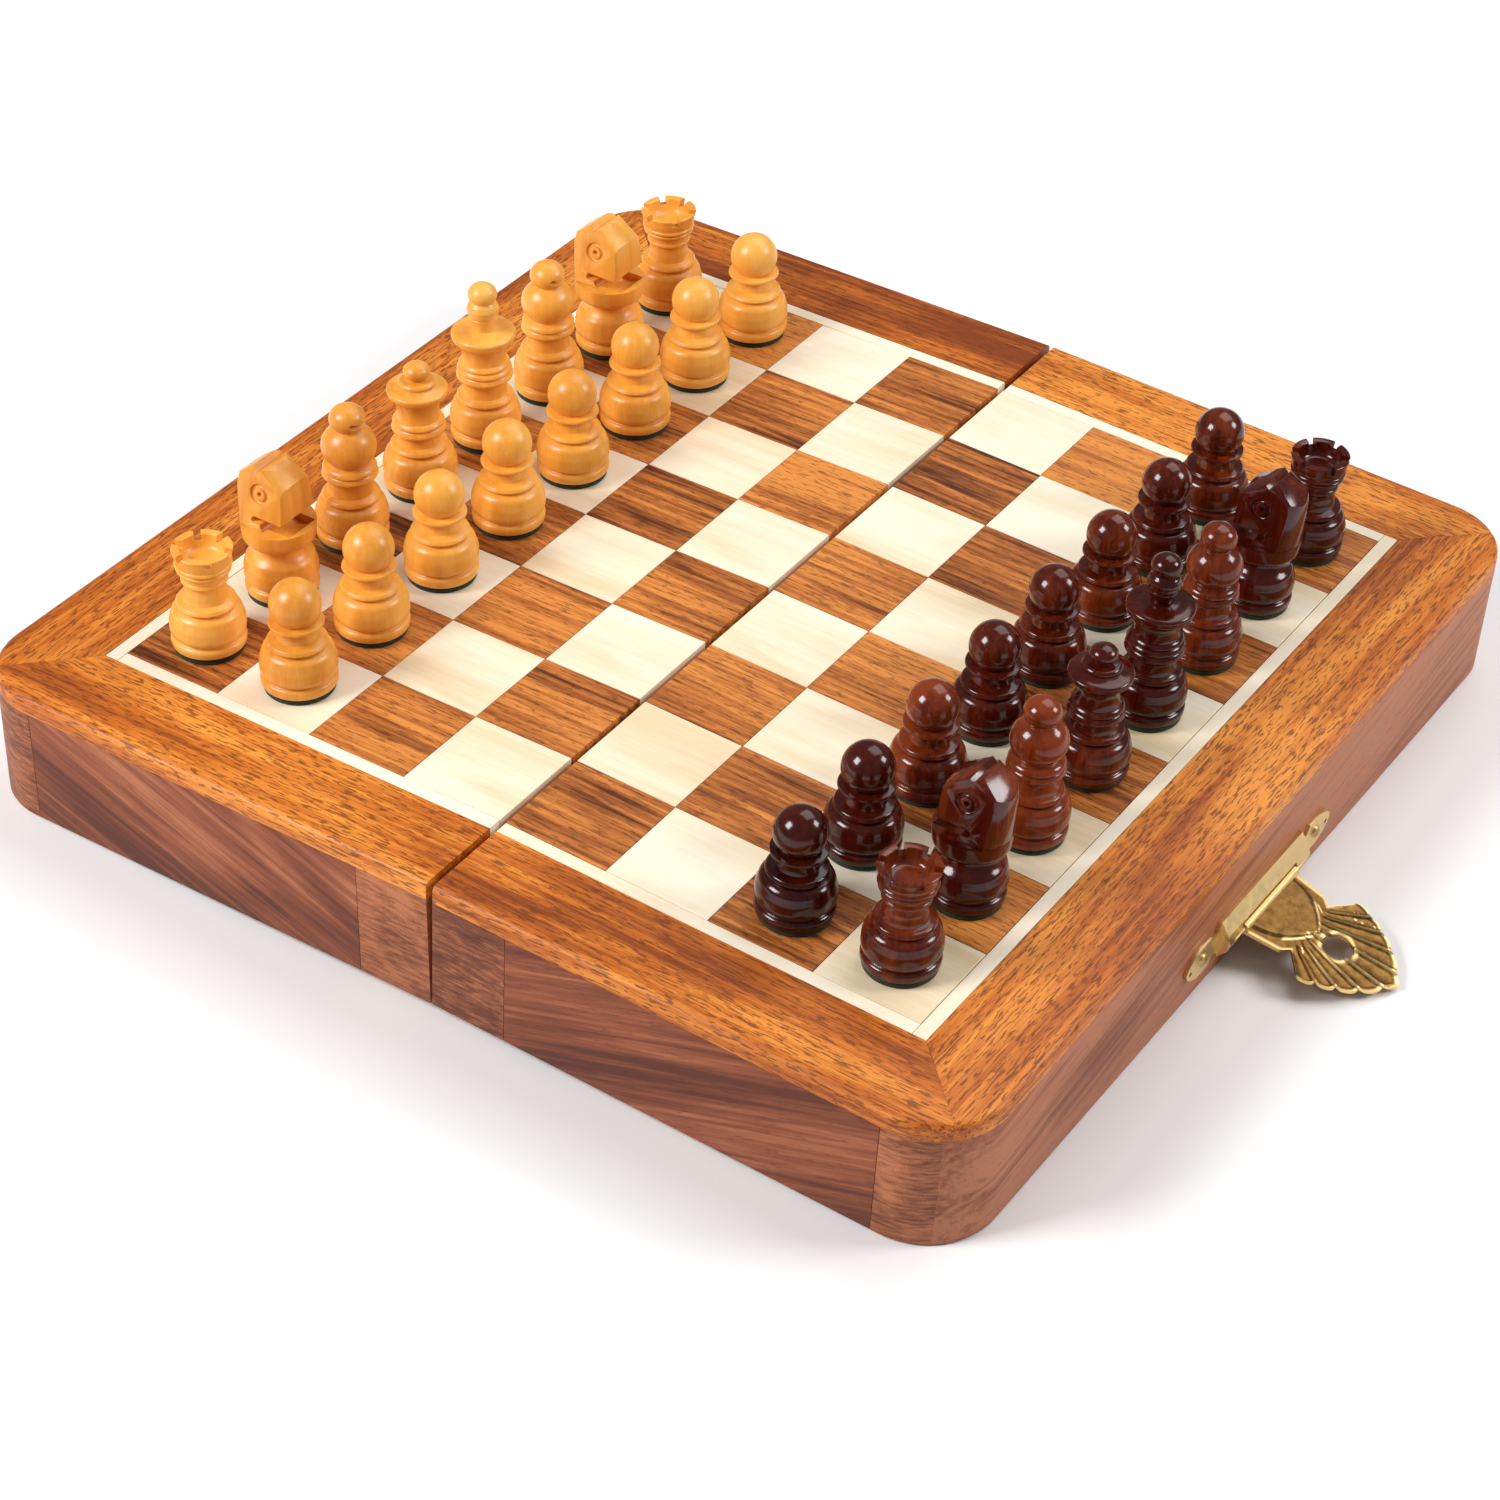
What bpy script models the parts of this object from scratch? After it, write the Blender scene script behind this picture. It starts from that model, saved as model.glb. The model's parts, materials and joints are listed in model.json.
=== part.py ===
"""Folding travel chess set: two wooden half boxes hinged on the fold line, a brass clasp and 32 men.

The board lies open with its playing side up.  Each half box leans by TILT, because the hinge
knuckles stand proud of the rims and lift the fold line off the table.  Each half is modelled
square in its own frame (origin on the fold axis, x towards the outer edge) and is then hung on
an empty that carries the lean.  Lengths are metres; board plans are given in squares.
"""
import math

import bmesh
import bpy
from mathutils import Vector

# Driving sizes
SQUARE = 0.0178
HALF = 5 * SQUARE
DEPTH = 0.0230
GAP = 0.0003
RIM = 0.00015
FOLD_FACE = 0.00015

# Carcass and top layers
WALL = 0.73 * SQUARE
CORNER_R = 0.68 * SQUARE
TOP = RIM + DEPTH
LAYER = 0.0030
BASE_TOP = TOP - LAYER - GAP
DECK = 0.0022
SHEET = 0.0005
FIELD_T = LAYER - SHEET - GAP
FIELD_EDGE = 4 * SQUARE
BORDER_EDGE = 4.15 * SQUARE

# Butt hinges let into the rims
HINGE_Y = 2.5 * SQUARE
HINGE_LEN = 0.0160
MIDDLE_LEN = 0.0050
KNUCKLE_R = 0.0016
HINGE_BORE = 0.0009
HINGE_PIN = 0.0005
LEAF_REACH = 0.0095
LEAF_T = 0.0008
LEAF_IN = 0.0001
TURN_ROOM = 0.0005

# Clasp on the right outer wall, catch on the left outer wall
CLASP_Y = -0.03 * SQUARE
CLASP_R = 0.0010
CLASP_BORE = 0.0007
CLASP_PIN = 0.0004
PLATE_T = 0.0006
PLATE_LEN = 2.63 * SQUARE
PLATE_LOW = 0.0035
PLATE_H = 0.0067
LUG_LEN = 0.0028
TONGUE_T = 0.0008
TONGUE_HALF_W = 0.465 * SQUARE
HOLE_X = 0.705 * SQUARE
HOLE_R = 0.0025
SHELL_X = 0.345 * SQUARE
SHELL_R = 0.97 * SQUARE
SHELL_SIDE_R = 0.66 * SQUARE
SHELL_ANGLE = 66.0
RIBS = 9
KNOB_R = 0.0015
CATCH_SIDE = 0.26 * SQUARE

# The lean, and the place of the fold axis
AXIS_Z = KNUCKLE_R
TILT = math.asin(AXIS_Z / math.hypot(HALF, RIM)) + math.atan(RIM / HALF)
PIVOT_X = HALF + GAP + PLATE_T + GAP + CLASP_R
PIVOT_Z = 0.0068
PIVOT_WORLD_Z = AXIS_Z - PIVOT_X * math.sin(TILT) + PIVOT_Z * math.cos(TILT)
TONGUE_REACH = SHELL_X + SHELL_R
TIP_GAP = 0.0002
DROOP = (math.asin((PIVOT_WORLD_Z - TIP_GAP) / math.hypot(TONGUE_REACH, CLASP_R))
         - math.atan(CLASP_R / TONGUE_REACH))
CATCH_Z = HOLE_X - PIVOT_Z
KNOB_PROUD = 0.0012
KNOB_OUT = HALF + GAP + PLATE_T + GAP + TONGUE_T + KNOB_PROUD
REACH_RIGHT = PIVOT_X * math.cos(TILT) + PIVOT_Z * math.sin(TILT) + TONGUE_REACH * math.cos(DROOP)
REACH_LEFT = KNOB_OUT * math.cos(TILT) + (CATCH_Z + KNOB_R) * math.sin(TILT)
FOLD_X = (REACH_LEFT - REACH_RIGHT) / 2

SEAT = GAP
SIDES_PAWN = 12
SIDES_PIECE = 14

BACK_ROW = ("rook_near", "knight_near", "bishop_near", "queen", "king",
            "bishop_far", "knight_far", "rook_far")


def clear_scene():
    for item in list(bpy.data.objects):
        bpy.data.objects.remove(item, do_unlink=True)


def finish(name, colour, roughness, metallic=0.0):
    """One Principled material with the given plain finish."""
    material = bpy.data.materials.new(name)
    material.use_nodes = True
    shader = material.node_tree.nodes["Principled BSDF"]
    shader.inputs["Base Color"].default_value = (*colour, 1.0)
    shader.inputs["Roughness"].default_value = roughness
    shader.inputs["Metallic"].default_value = metallic
    return material


def make(name, mesh, material, parent=None, location=(0, 0, 0), rotation=(0, 0, 0)):
    """Link one object, parented without any stored inverse."""
    item = bpy.data.objects.new(name, mesh)
    bpy.context.scene.collection.objects.link(item)
    if material is not None:
        mesh.materials.append(material)
    item.parent = parent
    item.location = location
    item.rotation_euler = rotation
    return item


def empty(name, location, rotation=(0, 0, 0)):
    item = bpy.data.objects.new(name, None)
    bpy.context.scene.collection.objects.link(item)
    item.location = location
    item.rotation_euler = rotation
    return item


def to_mesh(shape, name, smooth=False):
    bmesh.ops.recalc_face_normals(shape, faces=shape.faces)
    mesh = bpy.data.meshes.new(name)
    shape.to_mesh(mesh)
    shape.free()
    if smooth:
        mesh.shade_smooth()
        mesh.set_sharp_from_angle(angle=math.radians(40))
    return mesh


def slab(name, outline, low, high):
    """A flat outline in x and y, raised from low to high."""
    shape = bmesh.new()
    face = shape.faces.new([shape.verts.new((x, y, low)) for x, y in outline])
    raised = bmesh.ops.extrude_face_region(shape, geom=[face])
    moved = [v for v in raised["geom"] if isinstance(v, bmesh.types.BMVert)]
    bmesh.ops.translate(shape, verts=moved, vec=Vector((0, 0, high - low)))
    return to_mesh(shape, name)


def bar(name, section, start, end):
    """A section in x and z, drawn out along y from start to end."""
    shape = bmesh.new()
    face = shape.faces.new([shape.verts.new((x, start, z)) for x, z in section])
    drawn = bmesh.ops.extrude_face_region(shape, geom=[face])
    moved = [v for v in drawn["geom"] if isinstance(v, bmesh.types.BMVert)]
    bmesh.ops.translate(shape, verts=moved, vec=Vector((0, end - start, 0)))
    return to_mesh(shape, name)


def rectangle(x0, x1, y0, y1):
    return [(x0, y0), (x1, y0), (x1, y1), (x0, y1)]


def rod(name, radius, start, end, sides, centre=(0.0, 0.0)):
    """A round bar along y."""
    section = []
    for k in range(sides):
        angle = 2 * math.pi * (k + 0.5) / sides
        section.append((centre[0] + radius * math.cos(angle), centre[1] + radius * math.sin(angle)))
    return bar(name, section, start, end)


def turned(name, profile, sides):
    """Spin a (radius, height) profile, in squares, about z; both its ends lie on the axis."""
    shape = bmesh.new()
    points = [shape.verts.new((r * SQUARE, 0, z * SQUARE)) for r, z in profile]
    edges = [shape.edges.new(pair) for pair in zip(points, points[1:])]
    bmesh.ops.spin(shape, geom=points + edges, axis=(0, 0, 1), cent=(0, 0, 0),
                   angle=2 * math.pi, steps=sides, use_merge=True)
    bmesh.ops.remove_doubles(shape, verts=shape.verts, dist=0.00001)
    return to_mesh(shape, name, smooth=True)


def ball(radius, height, centre, start, end, steps):
    """Points on an oval from start to end degrees, measured from straight up."""
    points = []
    for k in range(steps + 1):
        angle = math.radians(start + (end - start) * k / steps)
        points.append((radius * math.sin(angle), centre + height * math.cos(angle)))
    return points


def modifier(item, operation, tool):
    """A Boolean with another object, which stays hidden."""
    change = item.modifiers.new(operation.title(), "BOOLEAN")
    change.operation = operation
    change.object = tool
    change.solver = "EXACT"
    tool.hide_render = True
    tool.display_type = "WIRE"


def side_shape(outline, side):
    return [(side * x, y) for x, y in outline]


def corner(x, y, steps=5):
    """A quarter circle round the outer corner at (x, y), going from the y side to the x side."""
    points = []
    turn = 1 if y > 0 else -1
    for k in range(steps + 1):
        angle = math.radians(90 - 90 * k / steps)
        points.append((x - CORNER_R + CORNER_R * math.cos(angle),
                       y - turn * CORNER_R + turn * CORNER_R * math.sin(angle)))
    return points


# ---------------------------------------------------------------- half boxes

def hinge_recess(item, frame, side, place):
    """Cut the leaf pocket and the room for the knuckles out of a fold wall's rim."""
    pocket = LEAF_IN + LEAF_T + GAP + RIM
    room = KNUCKLE_R + TURN_ROOM
    out = -0.001
    section = [(out, out), (LEAF_REACH + GAP, out), (LEAF_REACH + GAP, pocket),
               (room, pocket), (room, room), (out, room)]
    section = [(side * x, z) for x, z in section]
    reach = HINGE_LEN / 2 + GAP
    cutter = make(item.name + "_recess_" + place, bar("recess", section, -reach, reach), None, frame)
    cutter.location.y = HINGE_Y if place == "far" else -HINGE_Y
    modifier(item, "DIFFERENCE", cutter)


def half_box(side_name, side, frame, woods):
    """Four walls, the deck, the steel sheet, the field and the two trim rings of one half."""
    inner = HALF - WALL - GAP
    outer_plan = [(HALF - WALL, -HALF)] + corner(HALF, -HALF) + corner(HALF, HALF)[::-1]
    outer_plan += [(HALF - WALL, HALF)]
    plans = {
        "outer_wall": outer_plan,
        "hinge_wall": rectangle(FOLD_FACE, WALL, -HALF, HALF),
        "near_wall": rectangle(WALL + GAP, inner, -HALF, WALL - HALF),
        "far_wall": rectangle(WALL + GAP, inner, HALF - WALL, HALF),
    }
    for name, plan in plans.items():
        wall = make(side_name + "_" + name, slab(name, side_shape(plan, side), RIM, BASE_TOP),
                    woods["wall"], frame)
        if name == "hinge_wall":
            hinge_recess(wall, frame, side, "near")
            hinge_recess(wall, frame, side, "far")

    deck = rectangle(WALL + GAP, inner, -inner, inner)
    make(side_name + "_deck", slab("deck", side_shape(deck, side), BASE_TOP - DECK, BASE_TOP),
         woods["plywood"], frame)

    edge = FIELD_EDGE - GAP
    field = rectangle(FOLD_FACE, edge, -edge, edge)
    make(side_name + "_steel_sheet",
         slab("sheet", side_shape(field, side), TOP - LAYER, TOP - LAYER + SHEET),
         woods["steel"], frame)
    make(side_name + "_field", slab("field", side_shape(field, side), TOP - FIELD_T, TOP),
         woods["field"], frame)

    rim = BORDER_EDGE - GAP
    border = [(FOLD_FACE, -rim), (rim, -rim), (rim, rim), (FOLD_FACE, rim),
              (FOLD_FACE, FIELD_EDGE), (FIELD_EDGE, FIELD_EDGE),
              (FIELD_EDGE, -FIELD_EDGE), (FOLD_FACE, -FIELD_EDGE)]
    make(side_name + "_border", slab("border", side_shape(border, side), TOP - LAYER, TOP),
         woods["maple"], frame)

    frame_plan = [(FOLD_FACE, -HALF)] + corner(HALF, -HALF) + corner(HALF, HALF)[::-1]
    frame_plan += [(FOLD_FACE, HALF), (FOLD_FACE, BORDER_EDGE), (BORDER_EDGE, BORDER_EDGE),
                   (BORDER_EDGE, -BORDER_EDGE), (FOLD_FACE, -BORDER_EDGE)]
    make(side_name + "_frame", slab("frame", side_shape(frame_plan, side), TOP - LAYER, TOP),
         woods["rosewood"], frame)


# ---------------------------------------------------------------- hinges and clasp

def barrel(item, frame, radius, start, end, centre=(0.0, 0.0)):
    """Join one knuckle to a plate; its bore is cut afterwards."""
    tool = make(item.name + "_knuckle", rod("knuckle", radius, start, end, 12, centre), None, frame)
    tool.location = item.location
    tool.rotation_euler = item.rotation_euler
    modifier(item, "UNION", tool)


def bored(item, frame, bore, reach, centre=(0.0, 0.0)):
    """Drill along y through every knuckle of a plate."""
    tool = make(item.name + "_bore", rod("bore", bore, -reach, reach, 10, centre), None, frame)
    tool.location = item.location
    tool.rotation_euler = item.rotation_euler
    modifier(item, "DIFFERENCE", tool)


def hinge(place, frames, brass):
    """Two leaves and a pin; the left leaf has the two outer knuckles."""
    y = HINGE_Y if place == "far" else -HINGE_Y
    half = HINGE_LEN / 2
    inside = MIDDLE_LEN / 2 + GAP
    low = RIM + LEAF_IN
    start = KNUCKLE_R + TURN_ROOM
    tab = 0.6 * KNUCKLE_R
    for side_name, side, runs in (("left", -1, ((-half, -inside), (inside, half))),
                                  ("right", 1, ((-MIDDLE_LEN / 2, MIDDLE_LEN / 2),))):
        frame = frames[side_name]
        plan = [(LEAF_REACH, -half), (LEAF_REACH, half), (start, half)]
        for first, last in reversed(runs):
            plan += [(start, last), (tab, last), (tab, first), (start, first)]
        plan = list(dict.fromkeys(plan + [(start, -half)]))
        leaf = make(place + "_hinge_" + side_name + "_leaf",
                    slab("leaf", side_shape(plan, side), low, low + LEAF_T), brass, frame, (0, y, 0))
        for first, last in runs:
            barrel(leaf, frame, KNUCKLE_R, first, last)
        bored(leaf, frame, HINGE_BORE, HINGE_LEN)
    make(place + "_hinge_pin", rod("pin", HINGE_PIN, -half, half, 10), brass, frames["left"], (0, y, 0))


def clasp(frames, brass):
    """Plate with two lugs, shell tongue and pin on the right; knob plate on the left."""
    right = frames["right"]
    left = frames["left"]
    face = HALF + GAP
    width = TONGUE_HALF_W + GAP
    high = PLATE_LOW + PLATE_H
    plate = make("clasp_plate", bar("plate", [(face, PLATE_LOW), (face + PLATE_T, PLATE_LOW),
                                              (face + PLATE_T, high), (face, high)],
                                    -PLATE_LEN / 2, PLATE_LEN / 2), brass, right, (0, CLASP_Y, 0))
    pivot = (PIVOT_X, PIVOT_Z)
    for first, last in ((-width - LUG_LEN, -width), (width, width + LUG_LEN)):
        lug = [(face + PLATE_T / 2, PIVOT_Z - 0.0006), (PIVOT_X, PIVOT_Z - CLASP_R * 0.97),
               (PIVOT_X, PIVOT_Z + CLASP_R * 0.97), (face + PLATE_T / 2, PIVOT_Z + CLASP_R)]
        tool = make("clasp_lug", bar("lug", lug, first, last), None, right, (0, CLASP_Y, 0))
        modifier(plate, "UNION", tool)
        barrel(plate, right, CLASP_R, first, last, pivot)
    bored(plate, right, CLASP_BORE, PLATE_LEN, pivot)

    place = (PIVOT_X, CLASP_Y, PIVOT_Z)
    level = (0, DROOP - TILT, 0)
    tongue = make("clasp_tongue", slab("tongue", tongue_plan(), -CLASP_R, TONGUE_T - CLASP_R),
                  brass, right, place, level)
    barrel(tongue, right, CLASP_R, -TONGUE_HALF_W, TONGUE_HALF_W)
    bored(tongue, right, CLASP_BORE, PLATE_LEN)
    hole = make("clasp_hole", turned("hole", [(0, 0.2), (HOLE_R / SQUARE, 0.2),
                                              (HOLE_R / SQUARE, -0.2), (0, -0.2)], 14), None, right)
    hole.parent = tongue
    hole.location = (HOLE_X, 0, 0)
    modifier(tongue, "DIFFERENCE", hole)
    make("clasp_pin", rod("clasp_pin", CLASP_PIN, -width - LUG_LEN, width + LUG_LEN, 8),
         brass, right, place)

    side = CATCH_SIDE
    section = [(-face, CATCH_Z - side), (-face, CATCH_Z + side),
               (-face - PLATE_T, CATCH_Z + side), (-face - PLATE_T, CATCH_Z - side)]
    catch = make("catch_plate", bar("catch", section, -side, side), brass, left, (0, CLASP_Y, 0))
    length = (KNOB_OUT - face - PLATE_T / 2) / SQUARE
    radius = KNOB_R / SQUARE
    knob = make("catch_knob", turned("knob", [(0, length), (radius, length), (radius, 0), (0, 0)], 12),
                None, left, (-face - PLATE_T / 2, CLASP_Y, CATCH_Z), (0, -math.pi / 2, 0))
    modifier(catch, "UNION", knob)


def tongue_plan():
    """Shield at the pin, a waist, then a scalloped shell."""
    shield = [(0.0, TONGUE_HALF_W), (0.345 * SQUARE, 0.42 * SQUARE), (0.42 * SQUARE, 0.33 * SQUARE)]
    fan = []
    steps = 2 * RIBS
    for k in range(steps + 1):
        turn = SHELL_ANGLE * (1 - 2 * k / steps)
        dip = 0.0 if k % 2 else 0.03 * SQUARE
        point = (1 - abs(turn) / SHELL_ANGLE) ** 1.6
        radius = SHELL_SIDE_R + (SHELL_R - SHELL_SIDE_R) * point - dip
        angle = math.radians(turn)
        fan.append((SHELL_X + radius * math.cos(angle), radius * math.sin(angle)))
    low_shield = [(x, -y) for x, y in reversed(shield)]
    return shield + fan + low_shield


# ---------------------------------------------------------------- chessmen

def foot(waist=0.20, bell=0.330):
    """Shoulder ring, bell and base band that every man shares, from the waist down."""
    return [(waist, 0.58), (0.25, 0.53), (0.262, 0.48), (bell - 0.02, 0.36), (bell, 0.22),
            (bell, 0.09), (bell - 0.02, 0.0), (0, 0.0)]


def pawn_profile():
    head = ball(0.23, 0.23, 0.84, 0, 130, 5)
    return head + [(0.235, 0.71), (0.235, 0.65), (0.195, 0.61)] + foot(0.20, 0.335)


def rook_profile():
    crown = [(0, 0.93), (0.185, 0.93), (0.185, 1.02), (0.265, 1.02), (0.25, 0.90), (0.235, 0.84)]
    return crown + [(0.195, 0.78)] + foot(0.195)


def bishop_profile():
    knob = ball(0.166, 0.135, 1.265, 0, 125, 4)
    mitre = ball(0.25, 0.22, 0.985, 40, 135, 4)
    return knob + mitre + [(0.245, 0.82), (0.245, 0.73), (0.2, 0.67)] + foot()


def queen_profile():
    knob = ball(0.124, 0.085, 1.235, 0, 125, 3)
    coronet = [(0.165, 1.15), (0.165, 1.12), (0.277, 1.07), (0.265, 1.02), (0.19, 0.95)]
    return knob + coronet + [(0.195, 0.84), (0.235, 0.76), (0.238, 0.67), (0.2, 0.63)] + foot(0.2, 0.335)


def king_profile():
    finial = ball(0.134, 0.12, 1.54, 0, 115, 4)
    finial += [(0.14, 1.39), (0.125, 1.31), (0.1, 1.19)]
    cup = [(0.28, 1.165), (0.293, 1.12), (0.25, 1.02), (0.2, 0.94)]
    return finial + cup + [(0.205, 0.84), (0.255, 0.79), (0.255, 0.69), (0.205, 0.64)] + foot(0.205)


def knight_profile():
    return [(0, 0.70), (0.31, 0.70), (0.335, 0.66), (0.32, 0.60), (0.215, 0.56), (0.29, 0.47),
            (0.322, 0.36), (0.328, 0.22), (0.328, 0.09), (0.31, 0.0), (0, 0.0)]


def knight_head():
    """Side view of the head, facing +x, in squares."""
    return [(-0.24, 0.66), (-0.30, 0.80), (-0.30, 1.08), (-0.26, 1.20), (-0.14, 1.38),
            (0.03, 1.34), (0.21, 1.20), (0.235, 0.88), (-0.05, 0.85), (-0.05, 0.76), (0.10, 0.66)]


def add_knight_head(item, forward):
    section = [(forward * x * SQUARE, z * SQUARE) for x, z in knight_head()]
    reach = 0.19 * SQUARE
    head = make(item.name + "_head", bar("head", section, -reach, reach), None, item)
    modifier(item, "UNION", head)


def add_battlements(item):
    """Three slots across the crown leave six merlons."""
    width = 0.055 * SQUARE
    for k in range(3):
        plan = rectangle(-0.4 * SQUARE, 0.4 * SQUARE, -width, width)
        slot = make(item.name + "_slot", slab("slot", plan, 0.945 * SQUARE, 1.2 * SQUARE), None, item)
        slot.rotation_euler.z = math.radians(60 * k + 20)
        modifier(item, "DIFFERENCE", slot)


def chessman(name, kind, frame, place, wood, forward):
    profiles = {"pawn": pawn_profile, "rook": rook_profile, "bishop": bishop_profile,
                "queen": queen_profile, "king": king_profile, "knight": knight_profile}
    sides = SIDES_PAWN if kind == "pawn" else SIDES_PIECE
    item = make(name, turned(kind, profiles[kind](), sides), wood, frame, (*place, TOP + SEAT))
    if kind == "knight":
        add_knight_head(item, forward)
    if kind == "rook":
        add_battlements(item)


def army(colour, side, frame, wood):
    """Sixteen men: the back row on the outer file of squares, the pawns one square in."""
    for k, name in enumerate(BACK_ROW):
        y = (k - 3.5) * SQUARE
        chessman(colour + "_" + name, name.split("_")[0], frame, (side * 3.5 * SQUARE, y), wood, -side)
        chessman(colour + "_pawn_" + str(k + 1), "pawn", frame, (side * 2.5 * SQUARE, y), wood, -side)


def main():
    clear_scene()
    woods = {
        "wall": finish("wall_wood", (0.42, 0.20, 0.13), 0.55),
        "rosewood": finish("frame_rosewood", (0.50, 0.19, 0.07), 0.45),
        "maple": finish("border_maple", (0.85, 0.74, 0.56), 0.45),
        "field": finish("field_squares", (0.55, 0.34, 0.20), 0.45),
        "plywood": finish("deck_plywood", (0.62, 0.44, 0.27), 0.7),
        "steel": finish("sheet_steel", (0.55, 0.56, 0.58), 0.35, 1.0),
    }
    brass = finish("aged_brass", (0.62, 0.42, 0.16), 0.35, 1.0)
    boxwood = finish("boxwood", (0.86, 0.52, 0.18), 0.35)
    dark_wood = finish("dark_rosewood", (0.16, 0.035, 0.02), 0.25)

    place = (FOLD_X, 0, AXIS_Z)
    frames = {"left": empty("left_half_frame", place, (0, -TILT, 0)),
              "right": empty("right_half_frame", place, (0, TILT, 0))}
    half_box("left", -1, frames["left"], woods)
    half_box("right", 1, frames["right"], woods)
    hinge("near", frames, brass)
    hinge("far", frames, brass)
    clasp(frames, brass)
    army("light", -1, frames["left"], boxwood)
    army("dark", 1, frames["right"], dark_wood)


main()
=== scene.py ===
# %% [markdown]
# # A folding travel chess set
#
# The set is a wooden box that opens flat into a chess board, with a man for every square of the
# first two and last two files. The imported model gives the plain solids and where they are. This
# lesson remakes each piece as a joiner, a turner or a metalworker would shape it.

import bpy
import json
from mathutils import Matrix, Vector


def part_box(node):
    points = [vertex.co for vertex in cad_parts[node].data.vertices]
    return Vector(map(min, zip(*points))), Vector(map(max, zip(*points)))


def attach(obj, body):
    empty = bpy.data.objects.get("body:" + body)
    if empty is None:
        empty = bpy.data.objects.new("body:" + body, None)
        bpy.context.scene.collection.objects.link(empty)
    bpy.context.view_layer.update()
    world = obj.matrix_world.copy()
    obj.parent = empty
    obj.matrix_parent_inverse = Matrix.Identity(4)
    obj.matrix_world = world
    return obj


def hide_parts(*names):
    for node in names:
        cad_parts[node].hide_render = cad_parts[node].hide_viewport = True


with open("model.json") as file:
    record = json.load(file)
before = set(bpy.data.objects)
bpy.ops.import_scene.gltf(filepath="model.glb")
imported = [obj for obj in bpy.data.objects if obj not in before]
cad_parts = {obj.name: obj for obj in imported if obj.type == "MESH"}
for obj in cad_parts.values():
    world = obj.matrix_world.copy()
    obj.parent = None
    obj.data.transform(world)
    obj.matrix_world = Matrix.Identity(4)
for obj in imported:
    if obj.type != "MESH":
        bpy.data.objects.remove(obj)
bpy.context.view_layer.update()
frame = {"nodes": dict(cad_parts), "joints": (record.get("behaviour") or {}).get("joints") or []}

# %% Modules used below
import json
import math
import random

import bpy
from mathutils import Matrix, Vector

# %% [markdown]
# ## Read the main sizes off the model
#
# A joiner marks everything out from a few sizes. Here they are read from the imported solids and
# from the joints: the size of a square, the fold line, and the slight lean of each half, which
# comes from the hinge knuckles standing proud underneath.

# %% Squares, fold line and lean
joints = {joint["name"]: joint for joint in frame["joints"]}
FOLD = Vector(joints["board_fold"]["pos_m"])
lift_axis = joints["lift_dark_king"]["axis"]
TILT = math.atan2(lift_axis[0], lift_axis[2])


def middle(node):
    """The centre of a solid's box."""
    low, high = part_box(node)
    return (low + high) / 2


SQUARE = (middle("dark_pawn_8") - middle("dark_pawn_1")).y / 7
HALF = 5 * SQUARE
print("square %.2f mm, lean %.2f degrees" % (SQUARE * 1000, math.degrees(TILT)))

# %% [markdown]
# Each half is easiest to build square, with x running out from the fold axis, y along the fold
# and z up from the rims. A matrix then leans it into place. The left half uses negative x.

# %% Place of each half
SIDES = {"left": -1, "right": 1}
ENDS = {"near": -1, "far": 1}
BODY = {"left": "left_half", "right": "right_half"}
PLACE = {name: Matrix.Translation(FOLD) @ Matrix.Rotation(side * TILT, 4, "Y")
         for name, side in SIDES.items()}


def in_half(node, side_name):
    """Lowest and highest corner of a solid, measured in its own half's square frame."""
    back = PLACE[side_name].inverted()
    points = [back @ v.co for v in frame["nodes"][node].data.vertices]
    low = Vector([min(p[k] for p in points) for k in range(3)])
    high = Vector([max(p[k] for p in points) for k in range(3)])
    return low, high


RIM = in_half("right_outer_wall", "right")[0].z
TOP = in_half("right_field", "right")[1].z
WALL = in_half("right_hinge_wall", "right")[1].x
FOLD_FACE = in_half("right_hinge_wall", "right")[0].x
LAYER = TOP - in_half("right_frame", "right")[0].z
FIELD_T = TOP - in_half("right_field", "right")[0].z
CORNER_R = 0.68 * SQUARE
print("depth %.1f mm, walls %.1f mm, top layer %.1f mm"
      % ((TOP - RIM) * 1000, WALL * 1000, LAYER * 1000))

# %% [markdown]
# ## Small helpers for working by hand
#
# An edit-mode tool acts on whatever is selected, so each helper starts by clearing the selection.
# A finished piece has its place in its mesh, so `settle` applies the transforms. Edges are picked
# by where they lie, and anything closer to a plane than TOUCH counts as lying on it.

# %% Selection helpers
def select_only(*items):
    bpy.ops.object.select_all(action="DESELECT")
    for item in items:
        item.select_set(True)
    bpy.context.view_layer.objects.active = items[0]


def start_editing(item, mode="VERT"):
    select_only(item)
    bpy.ops.object.mode_set(mode="EDIT")
    bpy.ops.mesh.select_mode(type=mode)
    bpy.ops.mesh.select_all(action="DESELECT")


def stop_editing():
    bpy.ops.object.mode_set(mode="OBJECT")


def face_outwards():
    """Point every face outwards and leave edit mode."""
    bpy.ops.mesh.select_all(action="SELECT")
    bpy.ops.mesh.normals_make_consistent(inside=False)
    stop_editing()


def pick(item, test, kind="vertices"):
    """Select the vertices, edges or faces of a mesh for which test is true, in edit mode."""
    bpy.ops.object.mode_set(mode="OBJECT")
    count = 0
    for part in getattr(item.data, kind):
        part.select = bool(test(part))
        count += part.select
    bpy.ops.object.mode_set(mode="EDIT")
    return count


def discard(*items):
    for item in items:
        bpy.data.objects.remove(item, do_unlink=True)


def apply_modifier(item, kind, **settings):
    change = item.modifiers.new(kind.title(), kind)
    for key, value in settings.items():
        setattr(change, key, value)
    select_only(item)
    bpy.ops.object.modifier_apply(modifier=change.name)


def cut(item, tool, operation="DIFFERENCE"):
    """A Boolean with a tool, which is thrown away afterwards."""
    apply_modifier(item, "BOOLEAN", operation=operation, object=tool, solver="EXACT")
    discard(tool)


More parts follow.
